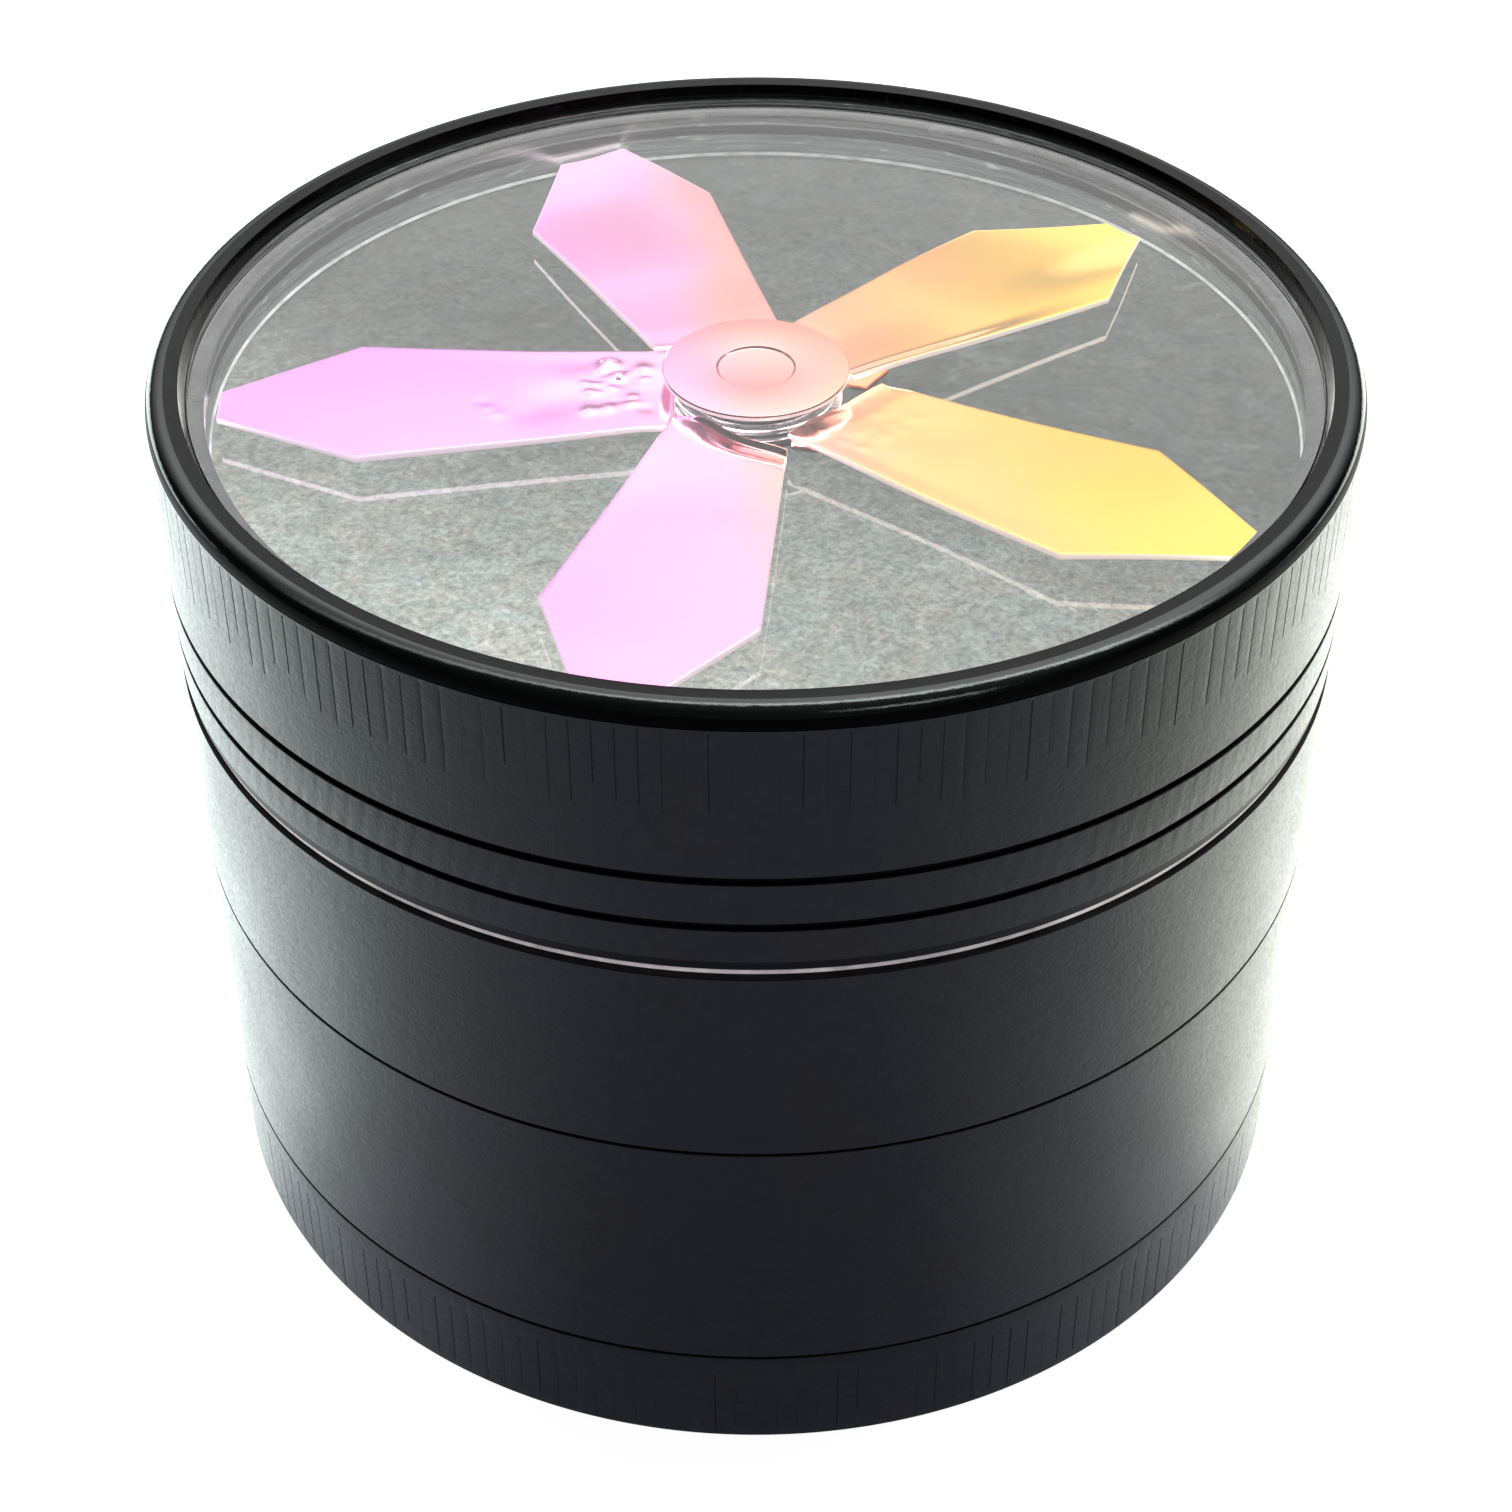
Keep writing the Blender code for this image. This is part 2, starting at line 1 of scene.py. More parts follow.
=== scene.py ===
"""Herb grinder: turned shells screwed together in a stack, with a bladed wheel under a clear window in the lid.

The axis is Z, the base stands on z = 0 and the front faces -Y, where the camera is. Sizes of the pieces are in
millimetres, turned to metres as each mesh is made. The floor, world and camera are in metres.
"""

import math

import bmesh
import bpy
import numpy as np
from mathutils import Matrix


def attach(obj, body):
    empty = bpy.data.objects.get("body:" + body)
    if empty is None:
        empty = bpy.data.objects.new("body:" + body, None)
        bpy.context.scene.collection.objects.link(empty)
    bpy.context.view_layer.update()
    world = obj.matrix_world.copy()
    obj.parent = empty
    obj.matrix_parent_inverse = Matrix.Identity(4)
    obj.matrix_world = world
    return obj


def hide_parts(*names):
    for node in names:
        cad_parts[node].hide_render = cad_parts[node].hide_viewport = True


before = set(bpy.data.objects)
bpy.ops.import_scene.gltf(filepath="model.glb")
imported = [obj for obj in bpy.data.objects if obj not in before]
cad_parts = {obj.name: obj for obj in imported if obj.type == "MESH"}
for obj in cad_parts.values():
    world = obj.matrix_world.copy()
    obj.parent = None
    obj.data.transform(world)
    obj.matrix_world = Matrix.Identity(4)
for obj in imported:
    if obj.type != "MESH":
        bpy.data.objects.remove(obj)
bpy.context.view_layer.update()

MM = 0.001
OUTER_R = 31.5

# threads: the wall and the crest of the sockets and of the necks that screw into them
SOCKET_R, SOCKET_CREST_R = 29.25, 28.6
NECK_R, NECK_CREST_R = 28.3, 28.95
PITCH = 1.5
LOWER_THREAD_Z, UPPER_THREAD_Z = 3.8, 18.0      # where the ridge of each neck crosses +X

# posts in the middle of the grinding chamber and the lid, each with a magnet in its end
POST_R, MAGNET_BORE_R, MAGNET_R = 6.5, 4.2, 3.9

SCREEN_Z = 8.4
CHAMBER_UNDER_Z, CHAMBER_FLOOR_Z = 24.0, 26.5
LID_CEILING_Z = 41.0
POCKET_FLOOR_Z = 45.4
WINDOW_R, WINDOW_LOW_Z, WINDOW_TOP_Z = 29.5, 48.2, 49.2


# ======================================================================================
# Shader nodes
# ======================================================================================
class Net:
    """Builds the nodes of one tree. An input takes a number, a colour or an output of a node."""

    def __init__(self, tree):
        self.tree = tree

    def feed(self, target, inputs):
        for key, value in inputs.items():
            socket = target.inputs[key]
            if isinstance(value, bpy.types.NodeSocket):
                self.tree.links.new(value, socket)
            elif socket.type == "RGBA":
                socket.default_value = (*value, 1)
            else:
                socket.default_value = value

    def node(self, kind, inputs=None, **settings):
        made = self.tree.nodes.new(kind)
        for key, value in settings.items():
            setattr(made, key, value)
        self.feed(made, inputs or {})
        return made

    def coords(self, scale=(1, 1, 1)):
        """Object coordinates in millimetres, stretched by scale."""
        source = self.node("ShaderNodeTexCoord").outputs["Object"]
        inputs = {"Vector": source, "Scale": tuple(s / MM for s in scale)}
        return self.node("ShaderNodeMapping", inputs).outputs["Vector"]

    def split(self, vector):
        return tuple(self.node("ShaderNodeSeparateXYZ", {0: vector}).outputs)

    def geometry(self, output):
        return self.node("ShaderNodeNewGeometry").outputs[output]

    def light_path(self):
        return self.node("ShaderNodeLightPath").outputs

    def noise(self, vector, scale, detail=4.0, rough=0.6, distortion=0.0):
        inputs = {"Vector": vector, "Scale": scale, "Detail": detail, "Roughness": rough,
                  "Distortion": distortion}
        return self.node("ShaderNodeTexNoise", inputs).outputs["Fac"]

    def remap(self, value, span, to=(0.0, 1.0)):
        """Carries the span onto the range to, and holds its ends beyond it."""
        inputs = {"Value": value, "From Min": span[0], "From Max": span[1],
                  "To Min": to[0], "To Max": to[1]}
        return self.node("ShaderNodeMapRange", inputs).outputs["Result"]

    def calc(self, operation, *values):
        """A maths node. Values after the second are taken in one by one."""
        inputs = dict(enumerate(values[:2]))
        result = self.node("ShaderNodeMath", inputs, operation=operation).outputs[0]
        if len(values) > 2:
            return self.calc(operation, result, *values[2:])
        return result

    def mix_colour(self, fac, low, high, blend="MIX"):
        inputs = {0: fac, 6: low, 7: high}
        return self.node("ShaderNodeMix", inputs, data_type="RGBA", blend_type=blend).outputs[2]

    def mix_value(self, fac, low, high):
        return self.node("ShaderNodeMix", {0: fac, 2: low, 3: high}, data_type="FLOAT").outputs[0]

    def ramp(self, fac, stops, interpolation="LINEAR"):
        """A colour ramp through the stops (position, colour)."""
        made = self.node("ShaderNodeValToRGB", {0: fac})
        made.color_ramp.interpolation = interpolation
        elements = made.color_ramp.elements
        for element, (position, colour) in zip((elements[0], elements[1]), (stops[0], stops[-1])):
            element.position = position
            element.color = (*colour, 1)
        for position, colour in stops[1:-1]:
            elements.new(position).color = (*colour, 1)
        return made.outputs[0]

    def curve(self, angle, top, stops):
        """Straight steps over an angle of 0 to 180 degrees: stops (degrees, value up to top)."""
        fac = self.remap(angle, span=(0.0, math.pi))
        greys = [(degrees / 180, (value / top,) * 3) for degrees, value in stops]
        return self.calc("MULTIPLY", self.ramp(fac, greys), top)

    def bump(self, height, strength, distance, normal=None):
        """A bump whose distance is in millimetres."""
        inputs = {"Height": height, "Strength": strength, "Distance": distance * MM}
        if normal is not None:
            inputs["Normal"] = normal
        return self.node("ShaderNodeBump", inputs).outputs["Normal"]

    def mix_shader(self, fac, first, second):
        return self.node("ShaderNodeMixShader", {0: fac, 1: first, 2: second}).outputs[0]

    def emission(self, colour, strength):
        inputs = {"Color": colour, "Strength": strength}
        return self.node("ShaderNodeEmission", inputs).outputs[0]

    def surface(self, shader):
        self.feed(self.tree.nodes["Material Output"], {"Surface": shader})

    def seen(self):
        """1 for a ray from the camera or through clear plastic, else 0."""
        path = self.light_path()
        return self.calc("MAXIMUM", path["Is Camera Ray"], path["Is Transmission Ray"])

    def deep_mirror(self):
        """1 for a mirror ray that has already met another surface, else 0."""
        path = self.light_path()
        straight = self.calc("SUBTRACT", 1.0, path["Is Transmission Ray"])
        late = self.calc("GREATER_THAN", path["Ray Depth"], 1.5)
        return self.calc("MULTIPLY", path["Is Glossy Ray"], straight, late)

    def glow_as_painted_reflection(self, bsdf, colour):
        """Glows to deep mirror rays: a painted reflection, as if the surface passed on some of the sky."""
        glow = self.emission(colour, strength=1.6)
        self.surface(self.mix_shader(self.deep_mirror(), bsdf.outputs[0], glow))


def angle_span(low, high):
    return math.radians(low), math.radians(high)


def new_material(name):
    mat = bpy.data.materials.new(name)
    mat.use_nodes = True
    return mat, Net(mat.node_tree), mat.node_tree.nodes["Principled BSDF"]


# ======================================================================================
# Materials
# ======================================================================================
def satin_black(name, base=0.0085, rough=0.37, grain=1.0, ior=1.5):
    """Bead-blasted black anodised aluminium, with fine pits and faint clouding."""
    mat, net, bsdf = new_material(name)
    mm = net.coords()
    fine = net.noise(mm, scale=4.2, detail=3.0, rough=0.7)
    coarse = net.noise(mm, scale=1.1, rough=0.62, distortion=0.3)
    cloud = net.noise(mm, scale=0.16, detail=3.0, rough=0.5)
    pits = net.bump(fine, strength=0.70 * grain, distance=0.03)
    net.feed(bsdf, {
        "Base Color": net.mix_colour(net.remap(coarse, span=(0.3, 0.7)),
                                     low=(base * 0.55, base * 0.66, base * 0.68),
                                     high=(base * 1.5, base * 1.56, base * 1.54)),
        "Specular Tint": net.mix_colour(net.remap(cloud, span=(0.36, 0.64)),
                                        low=(0.93, 1.0, 0.97), high=(1.0, 0.965, 0.93)),
        "Roughness": net.calc(
            "ADD",
            net.remap(fine, span=(0.25, 0.75), to=(rough - 0.10, rough + 0.10)),
            net.remap(cloud, span=(0.3, 0.7), to=(-0.025, 0.025))),
        "IOR": ior,
        "Normal": net.bump(coarse, strength=0.40 * grain, distance=0.06, normal=pits),
    })
    return mat


def gloss_black(name, inner=False):
    """Polished black with faint turning lines and scuffs. inner is the wall of the pocket, which glows to
    mirror rays as a painted reflection, as if it passed light on to the blades beside it."""
    mat, net, bsdf = new_material(name)
    mm = net.coords()
    streak = net.noise(net.coords((0.30, 0.30, 6.0)), scale=1.6, rough=0.7)
    speck = net.noise(mm, scale=1.9, rough=0.7)
    patch = net.noise(mm, scale=0.13, detail=3.0)
    lines = net.bump(streak, strength=0.34, distance=0.02)
    net.feed(bsdf, {
        "Base Color": (0.0016, 0.0017, 0.0020),
        "Roughness": net.calc("ADD", net.remap(streak, span=(0.35, 0.7), to=(0.025, 0.08)),
                              net.remap(patch, span=(0.42, 0.62), to=(0.04, -0.01))),
        "IOR": 1.46,
        "Normal": net.bump(speck, strength=0.34, distance=0.03, normal=lines),
        "Specular Tint": (0.90, 1.0, 0.96),
    })
    # the pocket wall gets a painted reflection: a glow seen only in mirrors
    if inner:
        net.glow_as_painted_reflection(bsdf, colour=(1.0, 0.98, 0.96))
    return mat


# near black with little sheen: painted shade for the grooves, the gap under the lid and the foot of the rim
# bead
def painted_shade_black(name, shine=0.25):
    mat, net, bsdf = new_material(name)
    net.feed(bsdf, {
        "Base Color": net.mix_colour(net.noise(net.coords(), scale=3.0),
                                     low=(0.0004, 0.0004, 0.0005), high=(0.0016, 0.0016, 0.0018)),
        "Roughness": 0.55,
        "Specular IOR Level": shine,
    })
    return mat


def knurl_painted_lift(name):
    """The fine upright cuts: a black painted paler than the body, as painted light against the shade in the
    cuts, with less sheen.
    """
    mat, net, bsdf = new_material(name)
    mottle = net.noise(net.coords(), scale=2.2, rough=0.7)
    net.feed(bsdf, {
        "Base Color": net.mix_colour(net.remap(mottle, span=(0.35, 0.65)),
                                     low=(0.0290, 0.0300, 0.0300), high=(0.0400, 0.0410, 0.0405)),
        "Roughness": 0.48,
        "IOR": 1.34,
    })
    return mat


def pocket_floor(name):
    """Half polished black under a painted glow: mottled grey, strongest at the front and left."""
    mat, net, bsdf = new_material(name)
    mm = net.coords()
    fine = net.noise(mm, scale=5.0, detail=3.0, rough=0.7)
    grain = net.noise(mm, scale=3.1, rough=0.75, distortion=0.5)
    mottle = net.noise(mm, scale=0.85, detail=6.0, rough=0.76, distortion=1.0)
    cloud = net.noise(mm, scale=0.11, detail=3.0, rough=0.55)
    glow_streaks = net.noise(net.coords((0.45, 1.0, 1.0)), scale=0.30, detail=5.0, rough=0.7,
                     distortion=1.4)
    tint = net.noise(mm, scale=0.35, detail=5.0, rough=0.75, distortion=0.6)

    # the painted glow grows from 0.105 by 0.36 along a line from the back right to the front left
    x, y, _ = net.split(net.geometry("Position"))
    lean = net.calc("ADD", y, net.calc("MULTIPLY", x, 0.40))
    front = net.calc("POWER", net.remap(lean, span=(0.004, -0.026)), 1.2)
    painted_glow = net.calc("ADD", net.calc("MULTIPLY", front, 0.36), 0.105)
    painted_glow = net.calc("MULTIPLY", painted_glow,
                     net.remap(grain, span=(0.28, 0.72), to=(0.45, 1.55)),
                     net.remap(mottle, span=(0.30, 0.70), to=(0.62, 1.38)),
                     net.remap(cloud, span=(0.35, 0.65), to=(0.88, 1.12)))
    # brighter streaks in the painted glow
    painted_glow = net.calc("ADD", painted_glow, net.remap(glow_streaks, span=(0.61, 0.68), to=(0.0, 0.06)))

    rubbed = net.bump(fine, strength=0.05, distance=0.01)
    net.feed(bsdf, {
        # the glow is painted light, seen only by the camera and through the window
        "Emission Color": net.mix_colour(net.remap(tint, span=(0.38, 0.62)),
                                         low=(0.86, 1.0, 0.95), high=(1.0, 0.99, 0.88)),
        "Emission Strength": net.calc("MULTIPLY", painted_glow, net.seen()),
        "Base Color": net.mix_colour(net.remap(mottle, span=(0.3, 0.7)),
                                     low=(0.003, 0.0034, 0.0033), high=(0.010, 0.0105, 0.010)),
        "Roughness": net.remap(mottle, span=(0.3, 0.7), to=(0.015, 0.05)),
        "IOR": 1.21,
        "Normal": net.bump(mottle, strength=0.06, distance=0.02, normal=rubbed),
    })
    return mat


def clear_acrylic(name):
    """Clear to light and shadow rays; refracts only for the camera and rays already inside."""
    mat, net, bsdf = new_material(name)
    mm = net.coords()
    smear = net.noise(mm, scale=0.12, detail=3.0, rough=0.55)
    wobble = net.noise(mm, scale=0.25, detail=2.0, rough=0.5)
    net.feed(bsdf, {
        "Base Color": (0.985, 0.99, 0.988),
        "IOR": 1.25,
        "Transmission Weight": 1.0,
        "Roughness": net.remap(smear, span=(0.35, 0.7), to=(0.001, 0.008)),
        "Normal": net.bump(wobble, strength=0.008, distance=0.05),
    })
    clear = net.node("ShaderNodeBsdfTransparent", {"Color": (0.90, 0.905, 0.90)})
    net.surface(net.mix_shader(net.seen(), clear.outputs[0], bsdf.outputs[0]))
    return mat


# grey painted glow of the window's edge and the spacer under it, standing in for light and reflections in them:
# (z, brightness)
FROST_GLOW_BANDS = [
    (POCKET_FLOOR_Z, 0.135), (46.78, 0.130), (46.86, 0.008), (47.38, 0.012), (47.44, 0.15),
    (47.54, 0.14), (47.60, 0.05), (48.04, 0.06), (48.10, 0.003), (48.48, 0.004), (48.53, 0.09),
    (48.62, 0.08), (48.67, 0.003), (48.86, 0.004), (48.90, 0.12), (48.98, 0.11), (49.02, 0.003),
    (WINDOW_TOP_Z, 0.003),
]


def frosted_edge(name):
    """The edge of clear plastic: streaked, with a grey painted glow in bands by height and painted glints."""
    mat, net, bsdf = new_material(name)
    mm = net.coords()
    _, _, z = net.split(mm)
    streak = net.noise(net.coords((0.12, 0.12, 2.6)), scale=1.5, detail=5.0, rough=0.7)
    glints = net.noise(net.coords((0.30, 0.30, 1.0)), scale=1.4, detail=3.0)
    wander = net.remap(net.noise(mm, scale=0.5, detail=3.0), span=(0.3, 0.7), to=(-0.04, 0.04))
    low, high = FROST_GLOW_BANDS[0][0], FROST_GLOW_BANDS[-1][0]
    height = net.remap(net.calc("ADD", z, wander), span=(low, high))
    bands = net.ramp(height, [((z - low) / (high - low), (grey,) * 3) for z, grey in FROST_GLOW_BANDS])
    net.feed(bsdf, {
        "Base Color": (0.004, 0.0045, 0.0045),
        "Emission Color": (0.95, 1.0, 0.965),
        # the emission is painted light: glowing bands, streaks and glints
        "Emission Strength": net.calc("MULTIPLY", bands,
                                      net.remap(streak, span=(0.35, 0.65), to=(0.55, 1.45)),
                                      net.remap(glints, span=(0.60, 0.68), to=(1.0, 2.4))),
        "Roughness": net.remap(streak, span=(0.3, 0.7), to=(0.15, 0.4)),
        "Normal": net.bump(streak, strength=0.3, distance=0.04),
    })
    # a painted reflection too: the edge glows to mirror rays
    net.glow_as_painted_reflection(bsdf, colour=(1.0, 1.0, 1.0))
    return mat


def painted_highlight_edge(name, colour):
    """A fine cut edge with a painted highlight: it glows in patches."""
    mat, net, bsdf = new_material(name)
    mottle = net.noise(net.coords(), scale=0.9)
    net.feed(bsdf, {
        "Base Color": net.mix_colour(net.remap(mottle, span=(0.3, 0.7)),
                                     low=tuple(c * 0.75 for c in colour), high=colour),
        "Emission Color": colour,
        "Emission Strength": net.remap(mottle, span=(0.35, 0.65), to=(0.18, 0.52)),
        "Roughness": 0.4,
    })
    return mat


# the coating across the wheel, from -X (0) to +X (1)
RAINBOW = [
    (0.00, (0.92, 0.33, 0.95)), (0.22, (0.95, 0.37, 0.94)), (0.42, (0.98, 0.40, 0.68)),
    (0.52, (1.0, 0.42, 0.38)), (0.66, (1.0, 0.48, 0.17)), (0.80, (1.0, 0.56, 0.08)),
    (1.00, (1.0, 0.61, 0.07)),
]
RAINBOW_REACH = 29.0


def rainbow_colour(net, mm, x, y):
    """Violet pink on the left, salmon in the middle, gold on the right, with a slow drift."""
    drift = net.remap(net.noise(mm, scale=0.12, detail=2.0, rough=0.5), span=(0.3, 0.7),
                      to=(-1.6, 1.6))
    slant = net.calc("MULTIPLY", y, 0.12)
    place_across = net.calc("ADD", x, drift, slant)
    fac = net.remap(place_across, span=(-RAINBOW_REACH, RAINBOW_REACH))
    return net.ramp(fac, RAINBOW, interpolation="EASE")


def rainbow_coat(name):
    """Rainbow coating on the faces of the sheet, deeper towards the front. The underside glows white to mirror
    rays, as painted light that keeps its reflection in the floor pale.
    """
    mat, net, bsdf = new_material(name)
    mm = net.coords()
    x, y, _ = net.split(mm)
    _, _, facing_up = net.split(net.geometry("True Normal"))
    underside = net.calc("LESS_THAN", facing_up, -0.3)
    # painted light: the underside glows to deep mirror rays
    painted_under_glow = net.calc("MULTIPLY", underside, net.deep_mirror())
    grain = net.noise(mm, scale=3.2, detail=3.0)
    net.feed(bsdf, {
        "Base Color": net.mix_colour(net.remap(y, span=(-8.0, -26.0), to=(0.0, 0.25)),
                                     low=rainbow_colour(net, mm, x, y), high=(1.0, 0.55, 0.9),
                                     blend="MULTIPLY"),
        "Emission Color": (1, 1, 1),
        "Emission Strength": net.calc("MULTIPLY", painted_under_glow, 1.15),
        "Metallic": 1.0,
        "Roughness": net.remap(grain, span=(0.3, 0.7), to=(0.13, 0.21)),
        "Normal": net.bump(grain, strength=0.06, distance=0.02),
    })
    return mat


def rainbow_edge(name):
    """The cut edge of the coated sheet: a painted highlight, pale and glowing to the eye, and glowing strongly
    to mirror rays as its painted reflection in the floor.
    """
    mat, net, bsdf = new_material(name)
    mm = net.coords()
    x, y, _ = net.split(mm)
    # paled towards white as a painted highlight
    pale = net.mix_colour(0.72, low=rainbow_colour(net, mm, x, y), high=(1.0, 0.93, 0.93))
    eye_glow = net.calc("MULTIPLY", net.seen(), 0.55)
    mirror_glow = net.calc("MULTIPLY", net.deep_mirror(), 15.0)
    net.feed(bsdf, {
        "Base Color": pale,
        "Emission Color": pale,
        "Emission Strength": net.calc("ADD", eye_glow, mirror_glow),
        "Metallic": 0.4,
        "Roughness": 0.45,
    })
    return mat


def turned_metal(name, colour, rough, lines):
    """Metal turned on a lathe: fine rings, lines to the millimetre, and uneven tarnish."""
    mat, net, bsdf = new_material(name)
    mm = net.coords()
    x, y, z = net.split(mm)
    squares = net.calc("ADD", net.calc("POWER", x, 2.0), net.calc("POWER", y, 2.0))
    radius = net.calc("SQRT", squares)
    phase = net.calc("MULTIPLY", net.calc("ADD", radius, z), lines * 6.28)
    blotch = net.noise(mm, scale=0.6)
    net.feed(bsdf, {
        "Base Color": net.mix_colour(net.remap(blotch, span=(0.3, 0.7)),
                                     low=tuple(c * 0.72 for c in colour), high=colour),
        "Metallic": 1.0,
        "Roughness": net.remap(blotch, span=(0.3, 0.7), to=(rough - 0.05, rough + 0.12)),
        "Normal": net.bump(net.calc("SINE", phase), strength=0.10, distance=0.01),
    })
    return mat


def milky_nylon(name):
    mat, net, bsdf = new_material(name)
    mm = net.coords()
    blotch = net.noise(mm, scale=0.5)
    glow = net.noise(mm, scale=0.22, rough=0.7)
    net.feed(bsdf, {
        "Base Color": net.mix_colour(net.remap(blotch, span=(0.3, 0.7)),
                                     low=(0.66, 0.56, 0.53), high=(0.86, 0.80, 0.78)),
        # the emission is painted light: a patchy glow that keeps the ring's thin edge bright in the dark gap
        "Emission Color": (1.0, 0.88, 0.87),
        "Emission Strength": net.remap(glow, span=(0.35, 0.68), to=(0.03, 0.36)),
        "Roughness": net.remap(blotch, span=(0.3, 0.7), to=(0.30, 0.46)),
        "Normal": net.bump(net.noise(mm, scale=4.0), strength=0.1, distance=0.02),
    })
    return mat


M_BODY = satin_black("blasted_black")
M_INSIDE = satin_black("blasted_black_inside", base=0.012, rough=0.34, grain=0.8)
M_BEAD = gloss_black("polished_black_bead")
# the lower part of the rim bead: near black with very little sheen, as painted shade
M_BEAD_UNDER_SHADE = painted_shade_black("bead_underside_painted_shade", shine=0.05)
M_PAINTED_SHADE = painted_shade_black("painted_shade_black")
M_KNURL = knurl_painted_lift("knurl_painted_lift")
M_WALL = gloss_black("polished_black_wall", inner=True)
M_RING = satin_black("rim_ring_black", base=0.0035, rough=0.34, ior=1.22)
M_FLOOR = pocket_floor("pocket_floor_black")
M_CLEAR = clear_acrylic("clear_acrylic")
M_FROST = frosted_edge("frosted_edge")
M_ARC = painted_highlight_edge("painted_highlight_edge", colour=(0.88, 0.93, 0.92))
M_RAINBOW = rainbow_coat("rainbow_coat")
M_RAINBOW_EDGE = rainbow_edge("rainbow_bright_edge")
M_NYLON = milky_nylon("milky_nylon")
M_NICKEL = turned_metal("nickel_plate", colour=(0.66, 0.64, 0.60), rough=0.16, lines=3.0)
M_STEEL = turned_metal("turned_steel", colour=(0.50, 0.51, 0.52), rough=0.24, lines=8.0)
M_WIRE = turned_metal("stainless_wire", colour=(0.55, 0.55, 0.54), rough=0.28, lines=2.0)
M_BRASS = turned_metal("turned_brass", colour=(0.72, 0.50, 0.20), rough=0.24, lines=7.0)

# these only glow to the eye and in mirrors; they are not sampled as lamps
for glowing in (M_WALL, M_FLOOR, M_FROST, M_ARC, M_RAINBOW, M_RAINBOW_EDGE, M_NYLON):
    glowing.cycles.emission_sampling = "NONE"

# slots of the shells, named by their place in the list
SHELL_MATS = [M_BODY, M_INSIDE, M_PAINTED_SHADE, M_BEAD, M_FLOOR, M_KNURL, M_WALL, M_RING, M_BEAD_UNDER_SHADE]
BODY, INSIDE, PAINTED_SHADE, BEAD, FLOOR, KNURL, WALL, RING, UNDER_SHADE = range(9)


# ======================================================================================
# Mesh helpers
# ======================================================================================
def link_object(name, mesh):
    obj = bpy.data.objects.new(name, mesh)
    bpy.context.scene.collection.objects.link(obj)
    return obj


def finish_shading(obj, sharp=32.0, weighted=True):
    obj.data.shade_smooth()
    obj.data.set_sharp_from_angle(angle=math.radians(sharp))
    if weighted:
        mod = obj.modifiers.new("weighted", "WEIGHTED_NORMAL")
        mod.keep_sharp = True
        mod.weight = 60


def add_object(name, verts, faces, mats, face_mats=None, sharp=32.0, weighted=True):
    mesh = bpy.data.meshes.new(name)
    mesh.from_pydata([tuple(v) for v in verts], [], faces)
    for mat in mats:
        mesh.materials.append(mat)
    if face_mats is not None:
        mesh.polygons.foreach_set("material_index", np.asarray(face_mats, np.int32))
    mesh.update()
    obj = link_object(name, mesh)
    finish_shading(obj, sharp, weighted)
    return obj


def object_from_bmesh(name, bm, mats=()):
    mesh = bpy.data.meshes.new(name)
    bm.to_mesh(mesh)
    bm.free()
    for mat in mats:
        mesh.materials.append(mat)
    return link_object(name, mesh)


def bake_modifiers(obj):
    graph = bpy.context.evaluated_depsgraph_get()
    graph.update()
    mesh = bpy.data.meshes.new_from_object(obj.evaluated_get(graph))
    obj.modifiers.clear()
    obj.data = mesh


def drill(obj, cutters, name):
    """Takes the bmesh cutters out of a piece."""
    tool = object_from_bmesh(name, cutters)
    obj.modifiers.clear()
    mod = obj.modifiers.new("cut", "BOOLEAN")
    mod.operation = "DIFFERENCE"
    mod.solver = "EXACT"
    mod.object = tool
    bake_modifiers(obj)
    bpy.data.objects.remove(tool, do_unlink=True)
    finish_shading(obj)


def break_edges(obj, width, segments, limit, sharp):
    """Bevels the edges steeper than limit degrees, then shades the piece."""
    mod = obj.modifiers.new("edges", "BEVEL")
    mod.width = width * MM
    mod.segments = segments
    mod.limit_method = "ANGLE"
    mod.angle_limit = math.radians(limit)
    bake_modifiers(obj)
    finish_shading(obj, sharp)


def place(obj, body, slot, *nodes):
    """Tells the frame which body a piece rides on, and hides the CAD nodes it replaces. slot is not used."""
    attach(obj, body)
    if nodes:
        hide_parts(*nodes)


def rounded(points, arc):
    """Rounds the corners of an outline of (r, z, fillet, material of the edge that leaves).
    Gives rows (r, z, material)."""
    rows = []
    for i, (r, z, fillet, mat) in enumerate(points):
        corner = np.array([r, z], float)
        back = np.array(points[i - 1][:2], float) - corner
        ahead = np.array(points[(i + 1) % len(points)][:2], float) - corner
        back_len, ahead_len = np.linalg.norm(back), np.linalg.norm(ahead)
        if fillet <= 0 or back_len < 1e-9 or ahead_len < 1e-9:
            rows.append((r, z, mat))
            continue
        back, ahead = back / back_len, ahead / ahead_len
        angle = math.acos(max(-1.0, min(1.0, float(back @ ahead))))
        if angle > math.pi - 1e-3:
            rows.append((r, z, mat))
            continue
        # the arc takes up less than half of either edge
        reach = min(fillet / math.tan(angle / 2), 0.48 * back_len, 0.48 * ahead_len)
        radius = reach * math.tan(angle / 2)
        middle = back + ahead
        centre = corner + middle / np.linalg.norm(middle) * radius / math.sin(angle / 2)
        start, end = corner + back * reach - centre, corner + ahead * reach - centre
        start_turn = math.atan2(start[1], start[0])
        end_turn = math.atan2(end[1], end[0])
        sweep = (end_turn - start_turn + math.pi) % (2 * math.pi) - math.pi
        steps = max(2, int(round(arc * max(1.0, math.sqrt(fillet / 0.3)))))
        for k in range(steps + 1):
            t = start_turn + sweep * k / steps
            rows.append((centre[0] + radius * math.cos(t), centre[1] + radius * math.sin(t), mat))
    return rows


